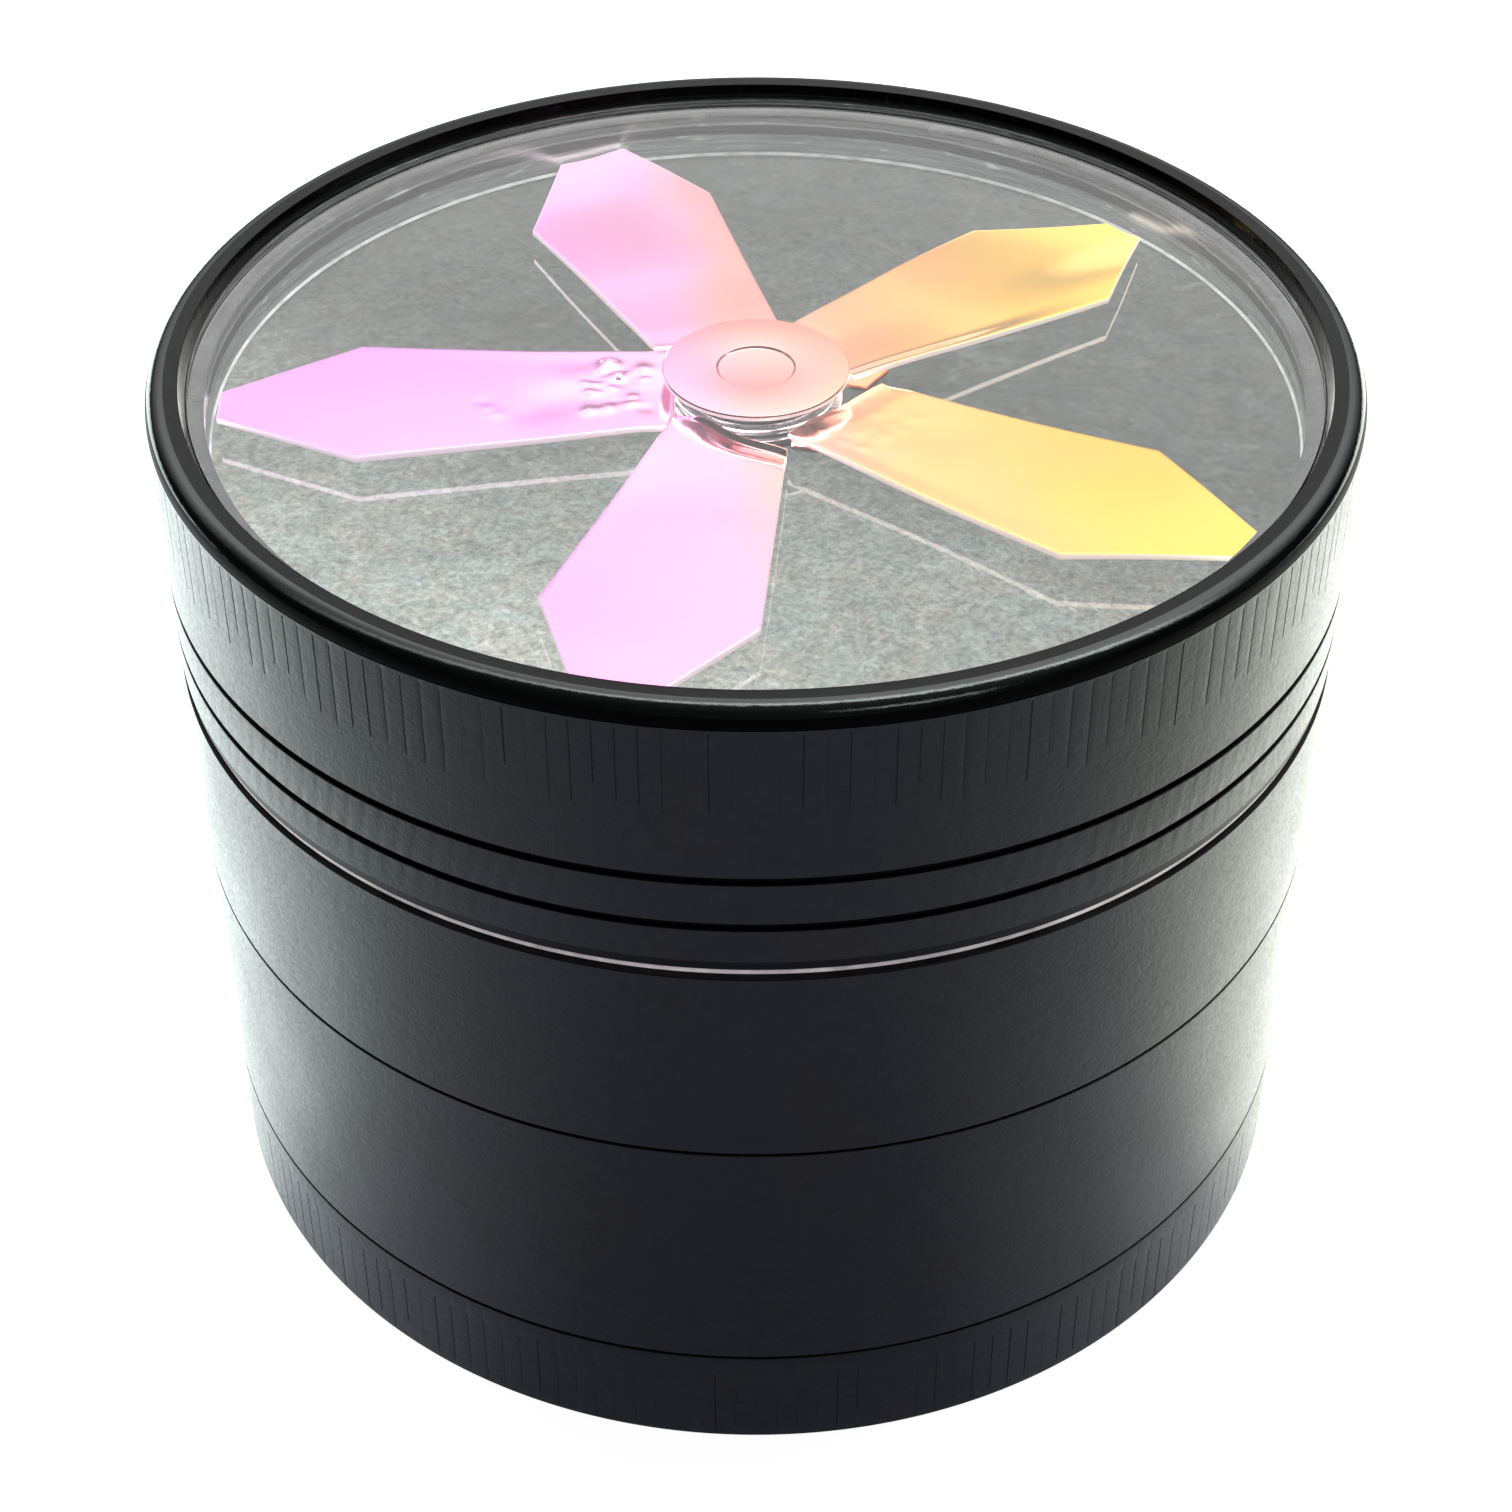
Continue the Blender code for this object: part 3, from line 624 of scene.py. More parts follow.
def lathe(rows, angles, insets=None, lifts=None):
    """Turns a closed outline of rows (r, z, material) round Z at the given angles. Each row's
    inset comes off its radius and its lift goes onto its height. Gives the vertices, the
    faces, their materials and the (row, angle) each face starts from."""
    insets = insets or [0.0] * len(rows)
    lifts = lifts or [0.0] * len(rows)
    cos, sin = np.cos(angles), np.sin(angles)
    count = len(angles)
    verts, first, on_axis = [], [], []
    total = 0
    for (r, z, _), inset, lift in zip(rows, insets, lifts):
        first.append(total)
        on_axis.append(r < 1e-6)
        if on_axis[-1]:
            verts.append(np.array([[0, 0, z]]))
        else:
            radii = np.full(count, r) - inset
            verts.append(np.stack([radii * cos, radii * sin, np.full(count, z) + lift], 1))
        total += len(verts[-1])
    verts = np.concatenate(verts) * MM

    here = np.arange(count)
    after = (here + 1) % count
    faces, mats, origins = [], [], []
    for i, row in enumerate(rows):
        m = (i + 1) % len(rows)
        if on_axis[i] and on_axis[m]:
            continue
        if on_axis[i]:
            corners = [np.full(count, first[i]), first[m] + after, first[m] + here]
        elif on_axis[m]:
            corners = [first[i] + here, first[i] + after, np.full(count, first[m])]
        else:
            corners = [first[i] + here, first[i] + after, first[m] + after, first[m] + here]
        faces.extend(np.stack(corners, 1).tolist())
        mats.extend([row[2]] * count)
        origins.extend((i, k) for k in range(count))

    # the sign of the volume decides which way the faces look
    triangles = [f[:3] for f in faces] + [[f[0], f[2], f[3]] for f in faces if len(f) == 4]
    a, b, c = verts[np.array(triangles).T]
    if np.einsum("ij,ij->i", a, np.cross(b, c)).sum() < 0:
        faces = [f[::-1] for f in faces]
    return verts, faces, mats, origins


def turned(name, points, mats, segs=240, arc=5):
    angles = np.arange(segs) * 2 * math.pi / segs
    verts, faces, face_mats, _ = lathe(rounded(points, arc), angles)
    return add_object(name, verts, faces, mats, face_mats)


KNURL_HALF_WIDTH = 0.045
KNURL_DEPTH = 0.045


def knurled(name, points, count, band, seed):
    """A turned shell whose outside carries fine upright cuts between the heights of band.
    The cuts vary in depth, and in where their lower ends lie."""
    rows = rounded(points, arc=5)
    rng = np.random.default_rng(seed)
    low, high = band
    step = 2 * math.pi / count
    half = KNURL_HALF_WIDTH / OUTER_R
    land = step - 2 * half
    offsets = [-half, -half * 0.32, half * 0.32, half, half + land * 0.34, half + land * 0.67]
    section = np.array([0.0, 1.0, 1.0, 0.0, 0.0, 0.0])
    angles = np.concatenate([[i * step + offset for offset in offsets] for i in range(count)])
    # one cut in five is faint, and one in ten stops well short
    depth = np.concatenate([
        section * KNURL_DEPTH * rng.uniform(0.35, 1.15) * (1.0 if rng.random() > 0.2 else 0.15)
        for _ in range(count)])
    slide = np.concatenate([
        np.full(len(offsets), rng.uniform(-0.30, 0.45) if rng.random() > 0.1 else 1.2)
        for _ in range(count)])

    # rows of the band, set into the outer wall: (z, share of depth, share of slide)
    levels = [(high - 0.01, 0.0, 0.0), (high - 0.10, 1.0, 0.0), (low + 0.16, 1.0, 1.0),
              (low, 0.0, 1.0)]
    wall = next(
        i for i, (row, after) in enumerate(zip(rows, rows[1:]))
        if abs(row[0] - OUTER_R) < 1e-6 and abs(after[0] - OUTER_R) < 1e-6
        and min(row[1], after[1]) <= low - 0.1 and max(row[1], after[1]) >= high)
    if rows[wall][1] <= rows[wall + 1][1]:
        levels.reverse()
    plain_below, plain_above = [0.0] * (wall + 1), [0.0] * (len(rows) - wall - 1)
    depth_shares = plain_below + [level[1] for level in levels] + plain_above
    slide_shares = plain_below + [level[2] for level in levels] + plain_above
    band_rows = [(OUTER_R, level[0], rows[wall][2]) for level in levels]
    rows = rows[:wall + 1] + band_rows + rows[wall + 1:]

    verts, faces, face_mats, origins = lathe(
        rows, angles, [depth * share for share in depth_shares],
        [slide * share for share in slide_shares])
    for face, (row, k) in enumerate(origins):
        in_band = depth_shares[row] > 0 and depth_shares[(row + 1) % len(rows)] > 0
        if in_band and k % len(offsets) < 3:
            face_mats[face] = KNURL
    return add_object(name, verts, faces, SHELL_MATS, face_mats)


# across the ridge of a thread: (share of its height, z from its middle)
RIDGE = [(-0.22, -0.53), (0.0, -0.42), (0.75, -0.19), (0.94, -0.13), (1.0, -0.05),
         (1.0, 0.05), (0.94, 0.13), (0.75, 0.19), (0.0, 0.42), (-0.22, 0.53)]
THREAD_STEPS = 150      # steps to a turn
THREAD_FADE = 0.9       # radians over which each end fades into the wall


def thread(name, core_r, crest_r, z_start, z_end, z_ref, mat):
    """One helical ridge with a rounded crest, crossing +X at z_ref."""
    outward = 1.0 if crest_r > core_r else -1.0
    start = 2 * math.pi * (z_start - z_ref) / PITCH
    end = 2 * math.pi * (z_end - z_ref) / PITCH
    steps = int(round((end - start) / (2 * math.pi) * THREAD_STEPS))
    height = abs(crest_r - core_r)
    verts = []
    for i in range(steps + 1):
        t = start + (end - start) * i / steps
        fade = max(0.0, min(1.0, (t - start) / THREAD_FADE, (end - t) / THREAD_FADE))
        fade = fade * fade * (3 - 2 * fade)
        z = z_ref + PITCH * t / (2 * math.pi)
        for share, dz in RIDGE:
            rise = share * height
            if share > 0:
                rise = rise * fade
            if share > 0 or fade < 1:
                rise -= 0.10 * (1 - fade) if share > 0 else 0.0
            r = core_r + outward * rise
            verts.append((r * math.cos(t) * MM, r * math.sin(t) * MM, (z + dz) * MM))
    size = len(RIDGE)
    faces = []
    for i in range(steps):
        a, b = i * size, (i + 1) * size
        for j in range(size):
            m = (j + 1) % size
            faces.append([a + j, a + m, b + m, b + j])
    faces.append(list(range(size))[::-1])
    faces.append([steps * size + j for j in range(size)])
    if outward < 0:
        faces = [face[::-1] for face in faces]
    return add_object(name, verts, faces, [mat], sharp=50.0, weighted=False)


def socket_thread(name, z_start, z_end, neck_ref):
    """The ridge in a socket, half a pitch above the ridge of its neck."""
    return thread(name, SOCKET_R, SOCKET_CREST_R, z_start, z_end, neck_ref + PITCH / 2, M_INSIDE)


def neck_thread(name, z_start, z_end, neck_ref):
    return thread(name, NECK_R, NECK_CREST_R, z_start, z_end, neck_ref, M_BODY)


TOOTH_HALF_RADIAL, TOOTH_HALF_ACROSS = 1.5, 2.1
TOOTH_CORNERS = ((TOOTH_HALF_RADIAL, 0), (0, TOOTH_HALF_ACROSS),
                 (-TOOTH_HALF_RADIAL, 0), (0, -TOOTH_HALF_ACROSS))


def teeth(name, rings, root_z, tip_z):
    """Diamond teeth with broken edges. rings is (radius, count, degrees of the first)."""
    verts, faces = [], []
    sign = 1 if tip_z > root_z else -1
    # (z, share of the full width); the root is sunk into the surface it stands on
    levels = ((root_z - sign * 0.3, 1.0), (tip_z - sign * 0.5, 0.93), (tip_z, 0.72))
    for radius, count, first in rings:
        for i in range(count):
            angle = math.radians(first) + 2 * math.pi * i / count
            cos, sin = math.cos(angle), math.sin(angle)
            base = len(verts)
            for z, width in levels:
                for x, y in TOOTH_CORNERS:
                    x, y = x * width + radius, y * width
                    verts.append(((x * cos - y * sin) * MM, (x * sin + y * cos) * MM, z * MM))
            for level in (base, base + 4):
                for k in range(4):
                    m = (k + 1) % 4
                    faces.append([level + k, level + m, level + 4 + m, level + 4 + k])
            faces.append([base + k for k in range(4)][::-1])
            faces.append([base + 8 + k for k in range(4)])
    if sign < 0:
        faces = [face[::-1] for face in faces]
    obj = add_object(name, verts, faces, [M_INSIDE], weighted=False)
    break_edges(obj, width=0.14, segments=3, limit=30, sharp=40.0)
    return obj


# Every outline below is (r, z, fillet, material of the edge that leaves).

# ======================================================================================
# Catcher cup
# ======================================================================================
CATCHER = [
    (0, 0, 0, BODY), (OUTER_R, 0, 0.18, BODY), (OUTER_R, 6.45, 0.05, INSIDE),
    (SOCKET_R, 6.45, 0.15, INSIDE), (SOCKET_R, 2.7, 0.1, INSIDE), (27.9, 2.6, 0.1, INSIDE),
    (27.75, 1.2, 1.3, INSIDE), (0, 1.2, 0, INSIDE),
]
place(knurled("catcher_cup_fine", CATCHER, count=180, band=(0.45, 5.25), seed=7),
      "catcher", "body", "catcher_cup")
place(socket_thread("catcher_thread", 3.3, 5.8, LOWER_THREAD_Z), "catcher", "body")

# ======================================================================================
# Storage chamber, screen and clamp ring
# ======================================================================================
STORAGE = [
    (26.0, 3.0, 0.1, BODY), (NECK_R, 3.0, 0.3, BODY), (NECK_R, 6.65, 0.08, BODY),
    (OUTER_R, 6.65, 0.05, BODY), (OUTER_R, 22.00, 0.05, INSIDE), (SOCKET_R, 22.00, 0.25, INSIDE),
    (SOCKET_R, 16.9, 0.1, INSIDE), (27.6, 16.5, 0.2, INSIDE), (27.6, 8.0, 0.1, INSIDE),
    (26.0, 8.0, 0.1, INSIDE),
]
place(turned("storage_chamber_fine", STORAGE, SHELL_MATS), "storage", "body", "storage_chamber")
place(neck_thread("storage_neck_thread", 3.75, 6.1, LOWER_THREAD_Z), "storage", "body")
place(socket_thread("storage_socket_thread", 17.6, 21.4, UPPER_THREAD_Z), "storage", "body")


def woven_screen(name, radius, pitch, wire_r, z_mid):
    """Plain weave: each wire passes over and under its neighbours in turn."""
    verts, faces = [], []
    sides = 5
    turns = [2 * math.pi * k / sides for k in range(sides)]
    ring = [(math.cos(turn), math.sin(turn)) for turn in turns]
    count = int(radius / pitch)
    for along_x in (True, False):
        for i in range(-count, count + 1):
            offset = i * pitch
            half = math.sqrt(max(0.0, radius * radius - offset * offset))
            if half < pitch:
                continue
            steps = max(4, int(2 * half / (pitch * 0.5)))
            base = len(verts)
            side = (1 if i % 2 == 0 else -1) * (1 if along_x else -1)
            for k in range(steps + 1):
                along = -half + 2 * half * k / steps
                wave = wire_r * 1.05 * math.cos(math.pi * along / pitch) * side
                for ring_across, ring_up in ring:
                    across = offset + wire_r * ring_across
                    z = z_mid + wave + wire_r * ring_up
                    x, y = (along, across) if along_x else (across, along)
                    verts.append((x * MM, y * MM, z * MM))
            wire = []
            for k in range(steps):
                a, b = base + k * sides, base + (k + 1) * sides
                for j in range(sides):
                    m = (j + 1) % sides
                    wire.append([a + j, a + m, b + m, b + j])
            wire.append([base + j for j in range(sides)][::-1])
            wire.append([base + steps * sides + j for j in range(sides)])
            faces.extend(face[::-1] if along_x else face for face in wire)
    return add_object(name, verts, faces, [M_WIRE], sharp=60.0, weighted=False)


def plain_ring(name, inner_r, outer_r, low, high, fillet, mat, segs, arc):
    """A turned ring of square section."""
    corners = ((inner_r, low), (outer_r, low), (outer_r, high), (inner_r, high))
    return turned(name, [(r, z, fillet, 0) for r, z in corners], [mat], segs, arc)


SCREEN_RIM_R = 27.3
SCREEN_RIM_HALF = 0.18
CLAMP_RING = [(26.0, 8.8, 0.1, 0), (SCREEN_RIM_R, 8.8, 0.1, 0), (SCREEN_RIM_R, 9.9, 0.15, 0),
              (26.0, 9.9, 0.25, 0)]
place(woven_screen("pollen_screen_weave", radius=26.9, pitch=1.0, wire_r=0.085, z_mid=SCREEN_Z),
      "storage", "screen_mesh", "pollen_screen")
place(plain_ring("screen_rim", 26.3, SCREEN_RIM_R, SCREEN_Z - SCREEN_RIM_HALF,
                 SCREEN_Z + SCREEN_RIM_HALF, fillet=0.05, mat=M_STEEL, segs=180, arc=2),
      "storage", "screen_mesh")
place(turned("screen_ring_fine", CLAMP_RING, [M_STEEL], segs=200, arc=3),
      "screen_clamp", "steel", "screen_ring")

# ======================================================================================
# Grinding chamber
# ======================================================================================
CHAMBER = [
    (0, CHAMBER_UNDER_Z, 0, INSIDE), (26.4, CHAMBER_UNDER_Z, 0.3, INSIDE), (26.4, 17.2, 0.1, BODY),
    (NECK_R, 17.2, 0.3, BODY), (NECK_R, 22.20, 0.08, BODY), (OUTER_R, 22.20, 0.05, BODY),
    # the chamber's top face is near black: painted shade in the gap under the lid
    (OUTER_R, 34.02, 0.05, PAINTED_SHADE), (29.4, 34.02, 0.12, INSIDE), (29.4, 31.0, 0.05, INSIDE),
    (29.0, 31.0, 0.08, INSIDE), (29.0, CHAMBER_FLOOR_Z, 0.5, INSIDE),
    (POST_R, CHAMBER_FLOOR_Z, 0.25, INSIDE), (POST_R, 34.0, 0.25, INSIDE),
    (MAGNET_BORE_R, 34.0, 0.12, INSIDE), (MAGNET_BORE_R, 30.7, 0.05, INSIDE),
    (0, 30.7, 0, INSIDE),
]
HOLE_R = 1.9
HOLE_RINGS = ((10.7, 5, 0.0), (18.05, 8, 12.0), (25.0, 12, 0.0))    # radius, count, first degrees


def floor_holes():
    """Upright cylinders through the chamber floor."""
    holes = bmesh.new()
    z = (CHAMBER_UNDER_Z + CHAMBER_FLOOR_Z) / 2 * MM
    for radius, count, first in HOLE_RINGS:
        for i in range(count):
            angle = math.radians(first) + 2 * math.pi * i / count
            made = bmesh.ops.create_cone(holes, cap_ends=True, segments=36, radius1=HOLE_R * MM,
                                         radius2=HOLE_R * MM, depth=6 * MM)
            centre = (radius * MM * math.cos(angle), radius * MM * math.sin(angle), z)
            bmesh.ops.translate(holes, verts=made["verts"], vec=centre)
    return holes


chamber = turned("grinding_chamber_fine", CHAMBER, SHELL_MATS)
drill(chamber, floor_holes(), "holes")
place(chamber, "grinder", "body", "grinding_chamber")
place(neck_thread("chamber_neck_thread", 17.95, 21.7, UPPER_THREAD_Z), "grinder", "body")
place(teeth("chamber_teeth", ((14.5, 6, 20.0), (21.6, 9, 4.0)), CHAMBER_FLOOR_Z, tip_z=39.8),
      "grinder", "body")

CHAMBER_MAGNET = [(0, 31.0, 0, 0), (MAGNET_R, 31.0, 0.1, 0), (MAGNET_R, 33.7, 0.25, 0),
                  (0, 33.7, 0, 0)]
place(turned("chamber_magnet_fine", CHAMBER_MAGNET, [M_NICKEL], segs=96, arc=3),
      "post_magnet", "magnet", "chamber_magnet")

# ======================================================================================
# Friction ring
# ======================================================================================
FRICTION_RING = [
    (28.75, 31.3, 0.08, 0), (29.1, 31.3, 0.08, 0), (29.1, 34.24, 0.08, 0), (31.3, 34.24, 0.03, 0),
    (31.3, 34.49, 0.03, 0), (28.75, 34.49, 0.08, 0),
]
place(turned("friction_ring_fine", FRICTION_RING, [M_NYLON], arc=3),
      "slip_ring", "nylon", "friction_ring")

# ======================================================================================
# Lid
# ======================================================================================
GROOVE_WIDTH, GROOVE_DEPTH = 0.44, 0.36
BEAD_R, BEAD_Z = 1.0, 49.0
PIN_BORE_R = 1.5


def groove(z):
    """A square groove round the outside, centred on z, from the top down. Its faces are near black, as painted
    shade.
    """
    top, low = z + GROOVE_WIDTH / 2, z - GROOVE_WIDTH / 2
    return [(OUTER_R, top, 0.04, PAINTED_SHADE), (OUTER_R - GROOVE_DEPTH, top, 0.06, PAINTED_SHADE),
            (OUTER_R - GROOVE_DEPTH, low, 0.06, PAINTED_SHADE), (OUTER_R, low, 0.04, BODY)]


def rim_bead():
    """The quarter round at the top of the rim, polished above; below, near black with very little sheen, as
    painted shade.
    """
    return [(OUTER_R - BEAD_R + BEAD_R * math.sin(math.radians(t)),
             BEAD_Z + BEAD_R * math.cos(math.radians(t)), 0.0, BEAD if t < 56 else UNDER_SHADE)
            for t in range(0, 91, 5)]


LID = [
    (0, 42.6, 0, INSIDE), (PIN_BORE_R, 42.6, 0, INSIDE), (PIN_BORE_R, POCKET_FLOOR_Z, 0.04, FLOOR),
    (29.76, POCKET_FLOOR_Z, 0.12, WALL), (29.76, 49.96, 0.05, RING),
    # the lower part of the bead is near black: painted shade
    *rim_bead(), (31.465, 48.965, 0.0, UNDER_SHADE), (OUTER_R, 48.93, 0.0, BODY),
    *groove(40.13), *groove(37.32),
    # the band just above the gap and the lid's lower face are near black: painted shade in the gap
    (OUTER_R, 35.16, 0.04, PAINTED_SHADE), (31.42, 34.62, 0.03, PAINTED_SHADE), (28.4, 34.62, 0.1, BODY),
    (28.4, 31.6, 0.2, BODY), (27.0, 31.6, 0.2, INSIDE), (27.0, LID_CEILING_Z, 0.4, INSIDE),
    (POST_R, LID_CEILING_Z, 0.25, INSIDE), (POST_R, 34.4, 0.25, INSIDE),
    (MAGNET_BORE_R, 34.4, 0.1, INSIDE), (MAGNET_BORE_R, 37.7, 0.05, INSIDE), (0, 37.7, 0, INSIDE),
]
LID_TEETH = ((10.9, 5, 10.0), (18.1, 8, 0.0), (25.0, 10, 9.0))
place(knurled("lid_shell_fine", LID, count=188, band=(44.1, 48.78), seed=3),
      "lid", "body", "lid_shell")
place(teeth("lid_teeth", LID_TEETH, LID_CEILING_Z, tip_z=27.7), "lid", "body")

LID_MAGNET = [(0, 34.7, 0, 0), (MAGNET_R, 34.7, 0.25, 0), (MAGNET_R, 37.4, 0.1, 0), (0, 37.4, 0, 0)]
place(turned("lid_magnet_fine", LID_MAGNET, [M_NICKEL], segs=96, arc=3),
      "lid", "magnet", "lid_magnet")

# clear above and below, with a finely notched frosted edge that carries painted glow
WINDOW = [
    (0, WINDOW_LOW_Z, 0, 0), (29.42, WINDOW_LOW_Z, 0, 1), (WINDOW_R, 48.28, 0, 1),
    (WINDOW_R, 48.48, 0, 1), (29.42, 48.56, 0, 1), (WINDOW_R, 48.64, 0, 1),
    (WINDOW_R, 48.86, 0, 1), (29.43, 48.93, 0, 1), (WINDOW_R, 49.0, 0, 1),
    (WINDOW_R, 49.12, 0, 1), (29.42, WINDOW_TOP_Z, 0, 0), (0, WINDOW_TOP_Z, 0, 0),
]
place(turned("lid_window_fine", WINDOW, [M_CLEAR, M_FROST], segs=300, arc=4),
      "lid", "window", "lid_window")

# a frosted ring with painted glow, and a painted highlight on its lower inner edge
SPACER = [
    (28.6, 45.62, 0.02, 1), (28.48, 45.46, 0.02, 1), (28.72, 45.46, 0.02, 0),
    (WINDOW_R, 45.46, 0.06, 0), (WINDOW_R, 48.05, 0.06, 0), (28.6, 48.05, 0.08, 0),
]
place(turned("window_spacer_fine", SPACER, [M_FROST, M_ARC], segs=300, arc=3),
      "lid", "window", "window_spacer")

RACE_BORE_R, INNER_RACE_R = 1.52, 1.9
AXLE_PIN = [(0, 42.75, 0, 0), (1.44, 42.75, 0.1, 0), (1.44, 47.45, 0.15, 0), (0, 47.45, 0, 0)]
place(turned("axle_pin_fine", AXLE_PIN, [M_STEEL], segs=64, arc=3), "lid", "steel", "axle_pin")
place(plain_ring("axle_washer_fine", RACE_BORE_R, INNER_RACE_R, 45.47, 45.67, fillet=0.04,
                 mat=M_BRASS, segs=64, arc=2), "lid", "brass", "axle_washer")

# ======================================================================================
# Bearing
# ======================================================================================
BEARING_LOW, BEARING_TOP = 45.75, 47.35
BEARING_MID = (BEARING_LOW + BEARING_TOP) / 2
OUTER_RACE_BORE_R, OUTER_RACE_R = 2.62, 3.0
CAGE_IN_R, CAGE_OUT_R = 2.05, 2.45
CAGE_INSET = 0.1
BALL_ORBIT_R = (CAGE_IN_R + CAGE_OUT_R) / 2
BALL_COUNT, BALL_R, BALL_POCKET_R = 6, 0.39, 0.5
TRACK_STEPS, TRACK_HALF, TRACK_DEPTH = 8, 0.33, 0.11


def ball_track(r, side):
    """The track at radius r: side 1 is the inner race, low to high; -1 the outer, high to low."""
    points = []
    for k in range(TRACK_STEPS + 1):
        f = -1 + 2 * k / TRACK_STEPS
        points.append((r - side * TRACK_DEPTH * (1 - f * f), BEARING_MID + f * TRACK_HALF * side,
                       0.0, 0))
    return points


def cage_pockets():
    """Radial cylinders, one round each ball."""
    pockets = bmesh.new()
    for i in range(BALL_COUNT):
        made = bmesh.ops.create_cone(pockets, cap_ends=True, segments=28,
                                     radius1=BALL_POCKET_R * MM, radius2=BALL_POCKET_R * MM,
                                     depth=1.3 * MM)
        matrix = (Matrix.Rotation(2 * math.pi * i / BALL_COUNT, 4, "Z")
                  @ Matrix.Translation((BALL_ORBIT_R * MM, 0, BEARING_MID * MM))
                  @ Matrix.Rotation(math.pi / 2, 4, "Y"))
        bmesh.ops.transform(pockets, verts=made["verts"], matrix=matrix)
    return pockets


def bearing_ball(name, angle):
    ball = bmesh.new()
    bmesh.ops.create_icosphere(ball, subdivisions=3, radius=BALL_R * MM)
    centre = (BALL_ORBIT_R * MM * math.cos(angle), BALL_ORBIT_R * MM * math.sin(angle),
              BEARING_MID * MM)
    bmesh.ops.translate(ball, verts=ball.verts, vec=centre)
    obj = object_from_bmesh(name, ball, [M_STEEL])
    obj.data.shade_smooth()
    return obj


INNER_RACE = [
    (RACE_BORE_R, BEARING_LOW, 0.05, 0), (INNER_RACE_R, BEARING_LOW, 0.05, 0),
    *ball_track(INNER_RACE_R, 1),
    (INNER_RACE_R, BEARING_TOP, 0.05, 0), (RACE_BORE_R, BEARING_TOP, 0.05, 0),
]
OUTER_RACE = [
    (OUTER_RACE_BORE_R, BEARING_LOW, 0.05, 0), (OUTER_RACE_R, BEARING_LOW, 0.05, 0),
    (OUTER_RACE_R, BEARING_TOP, 0.05, 0), (OUTER_RACE_BORE_R, BEARING_TOP, 0.05, 0),
    *ball_track(OUTER_RACE_BORE_R, -1),
]
place(turned("bearing_inner_race_fine", INNER_RACE, [M_STEEL], segs=72, arc=2),
      "lid", "steel", "bearing_inner_race")
place(turned("bearing_outer_race_fine", OUTER_RACE, [M_STEEL], segs=96, arc=2),
      "spinner", "steel", "bearing_outer_race")
cage = plain_ring("bearing_cage_fine", CAGE_IN_R, CAGE_OUT_R, BEARING_LOW + CAGE_INSET,
                  BEARING_TOP - CAGE_INSET, fillet=0.05, mat=M_BRASS, segs=72, arc=2)
drill(cage, cage_pockets(), "pockets")
place(cage, "cage", "brass", "bearing_cage")
for i in range(BALL_COUNT):
    place(bearing_ball("bearing_ball_%d_fine" % (i + 1), 2 * math.pi * i / BALL_COUNT),
          "cage", "steel", "bearing_ball_%d" % (i + 1))

# ======================================================================================
# Spinner
# ======================================================================================
# materials: 0 coating, 1 its edge with a painted highlight, 2 steel
HUB_CAP = [
    (0, 47.83, 0, 0), (1.98, 47.83, 0.10, 0), (2.10, 47.95, 0.04, 0), (4.86, 47.95, 0.05, 0),
    (4.92, 47.86, 0.03, 1), (4.92, 47.66, 0.05, 2), (3.7, 47.62, 0.05, 2), (3.7, 45.9, 0.05, 2),
    (3.08, 45.9, 0.05, 2), (3.08, 47.58, 0, 2), (0, 47.58, 0, 2),
]
place(turned("spinner_hub_cap_fine", HUB_CAP, [M_RAINBOW, M_RAINBOW_EDGE, M_STEEL],
             segs=160, arc=4), "spinner", "spinner", "spinner_hub_cap")
place(plain_ring("hub_collar_fine", 3.8, 4.6, 45.75, 46.3, fillet=0.08, mat=M_STEEL,
                 segs=120, arc=3), "spinner", "brass", "hub_collar")

# The blades, in turn clockwise from above. On each, "along" runs out from the axis and
# "across" runs over its width. Lifts of the sheet, all in mm:
#   twist  the low-across side at the root      fold   the low-across edge, fading outwards
#   dip    the high-across half of the root     droop  the outer end, downwards
#   dents  share of the hammered marks          inner  start of the high-across edge
#   tip    (along, low across, high across)     root   (low across, high across)
BLADES = (
    dict(twist=0.10, fold=0.04, dip=0.10, dents=1.0, inner=-1.0),
    dict(twist=0.05, fold=0.02, dip=0.02, droop=0.42, tip=(28.1, -2.7, 1.25)),
    dict(twist=0.16, fold=0.34, dip=0.02, droop=0.60, tip=(27.6, -1.25, 1.35)),
    dict(twist=0.06, fold=0.05, dip=0.10, dents=0.12, droop=-0.30),
    dict(twist=0.10, fold=0.02, dip=0.40, root=(-3.22, 2.7)),
)
FIRST_BLADE_DEG = 183.9
SHEET = 0.32            # thickness of the sheet with its coating
SHEET_Z = 46.60
SHEET_MAX_LIFT = 0.74
BLADE_ROWS, BLADE_COLS = 120, 48
WIDEST_ALONG, WIDEST_HALF = 20.8, 5.45
WIDEST_ROW = int(round((WIDEST_ALONG - 4.6) / (28.1 - 4.6) * (BLADE_ROWS - 1)))
# inner edge of the blade: where it starts along, against its place across
ROOT_ACROSS = [-3.3, -1.2, 1.0, 2.85, 3.5]
ROOT_ALONG = [3.95, 4.30, 4.95, 5.35, 5.6]
# large marks on the sheet: (along, across, size, height)
LARGE_MARKS = [
    (10.9, 0.9, 1.5, -0.10), (9.6, -1.2, 1.1, 0.07), (13.6, 1.9, 0.40, 0.045),
    (14.4, 0.6, 0.35, -0.035), (14.0, 1.3, 0.30, 0.04), (12.0, 2.0, 0.9, -0.03),
]


def smooth(x):
    x = np.clip(x, 0.0, 1.0)
    return x * x * (3 - 2 * x)


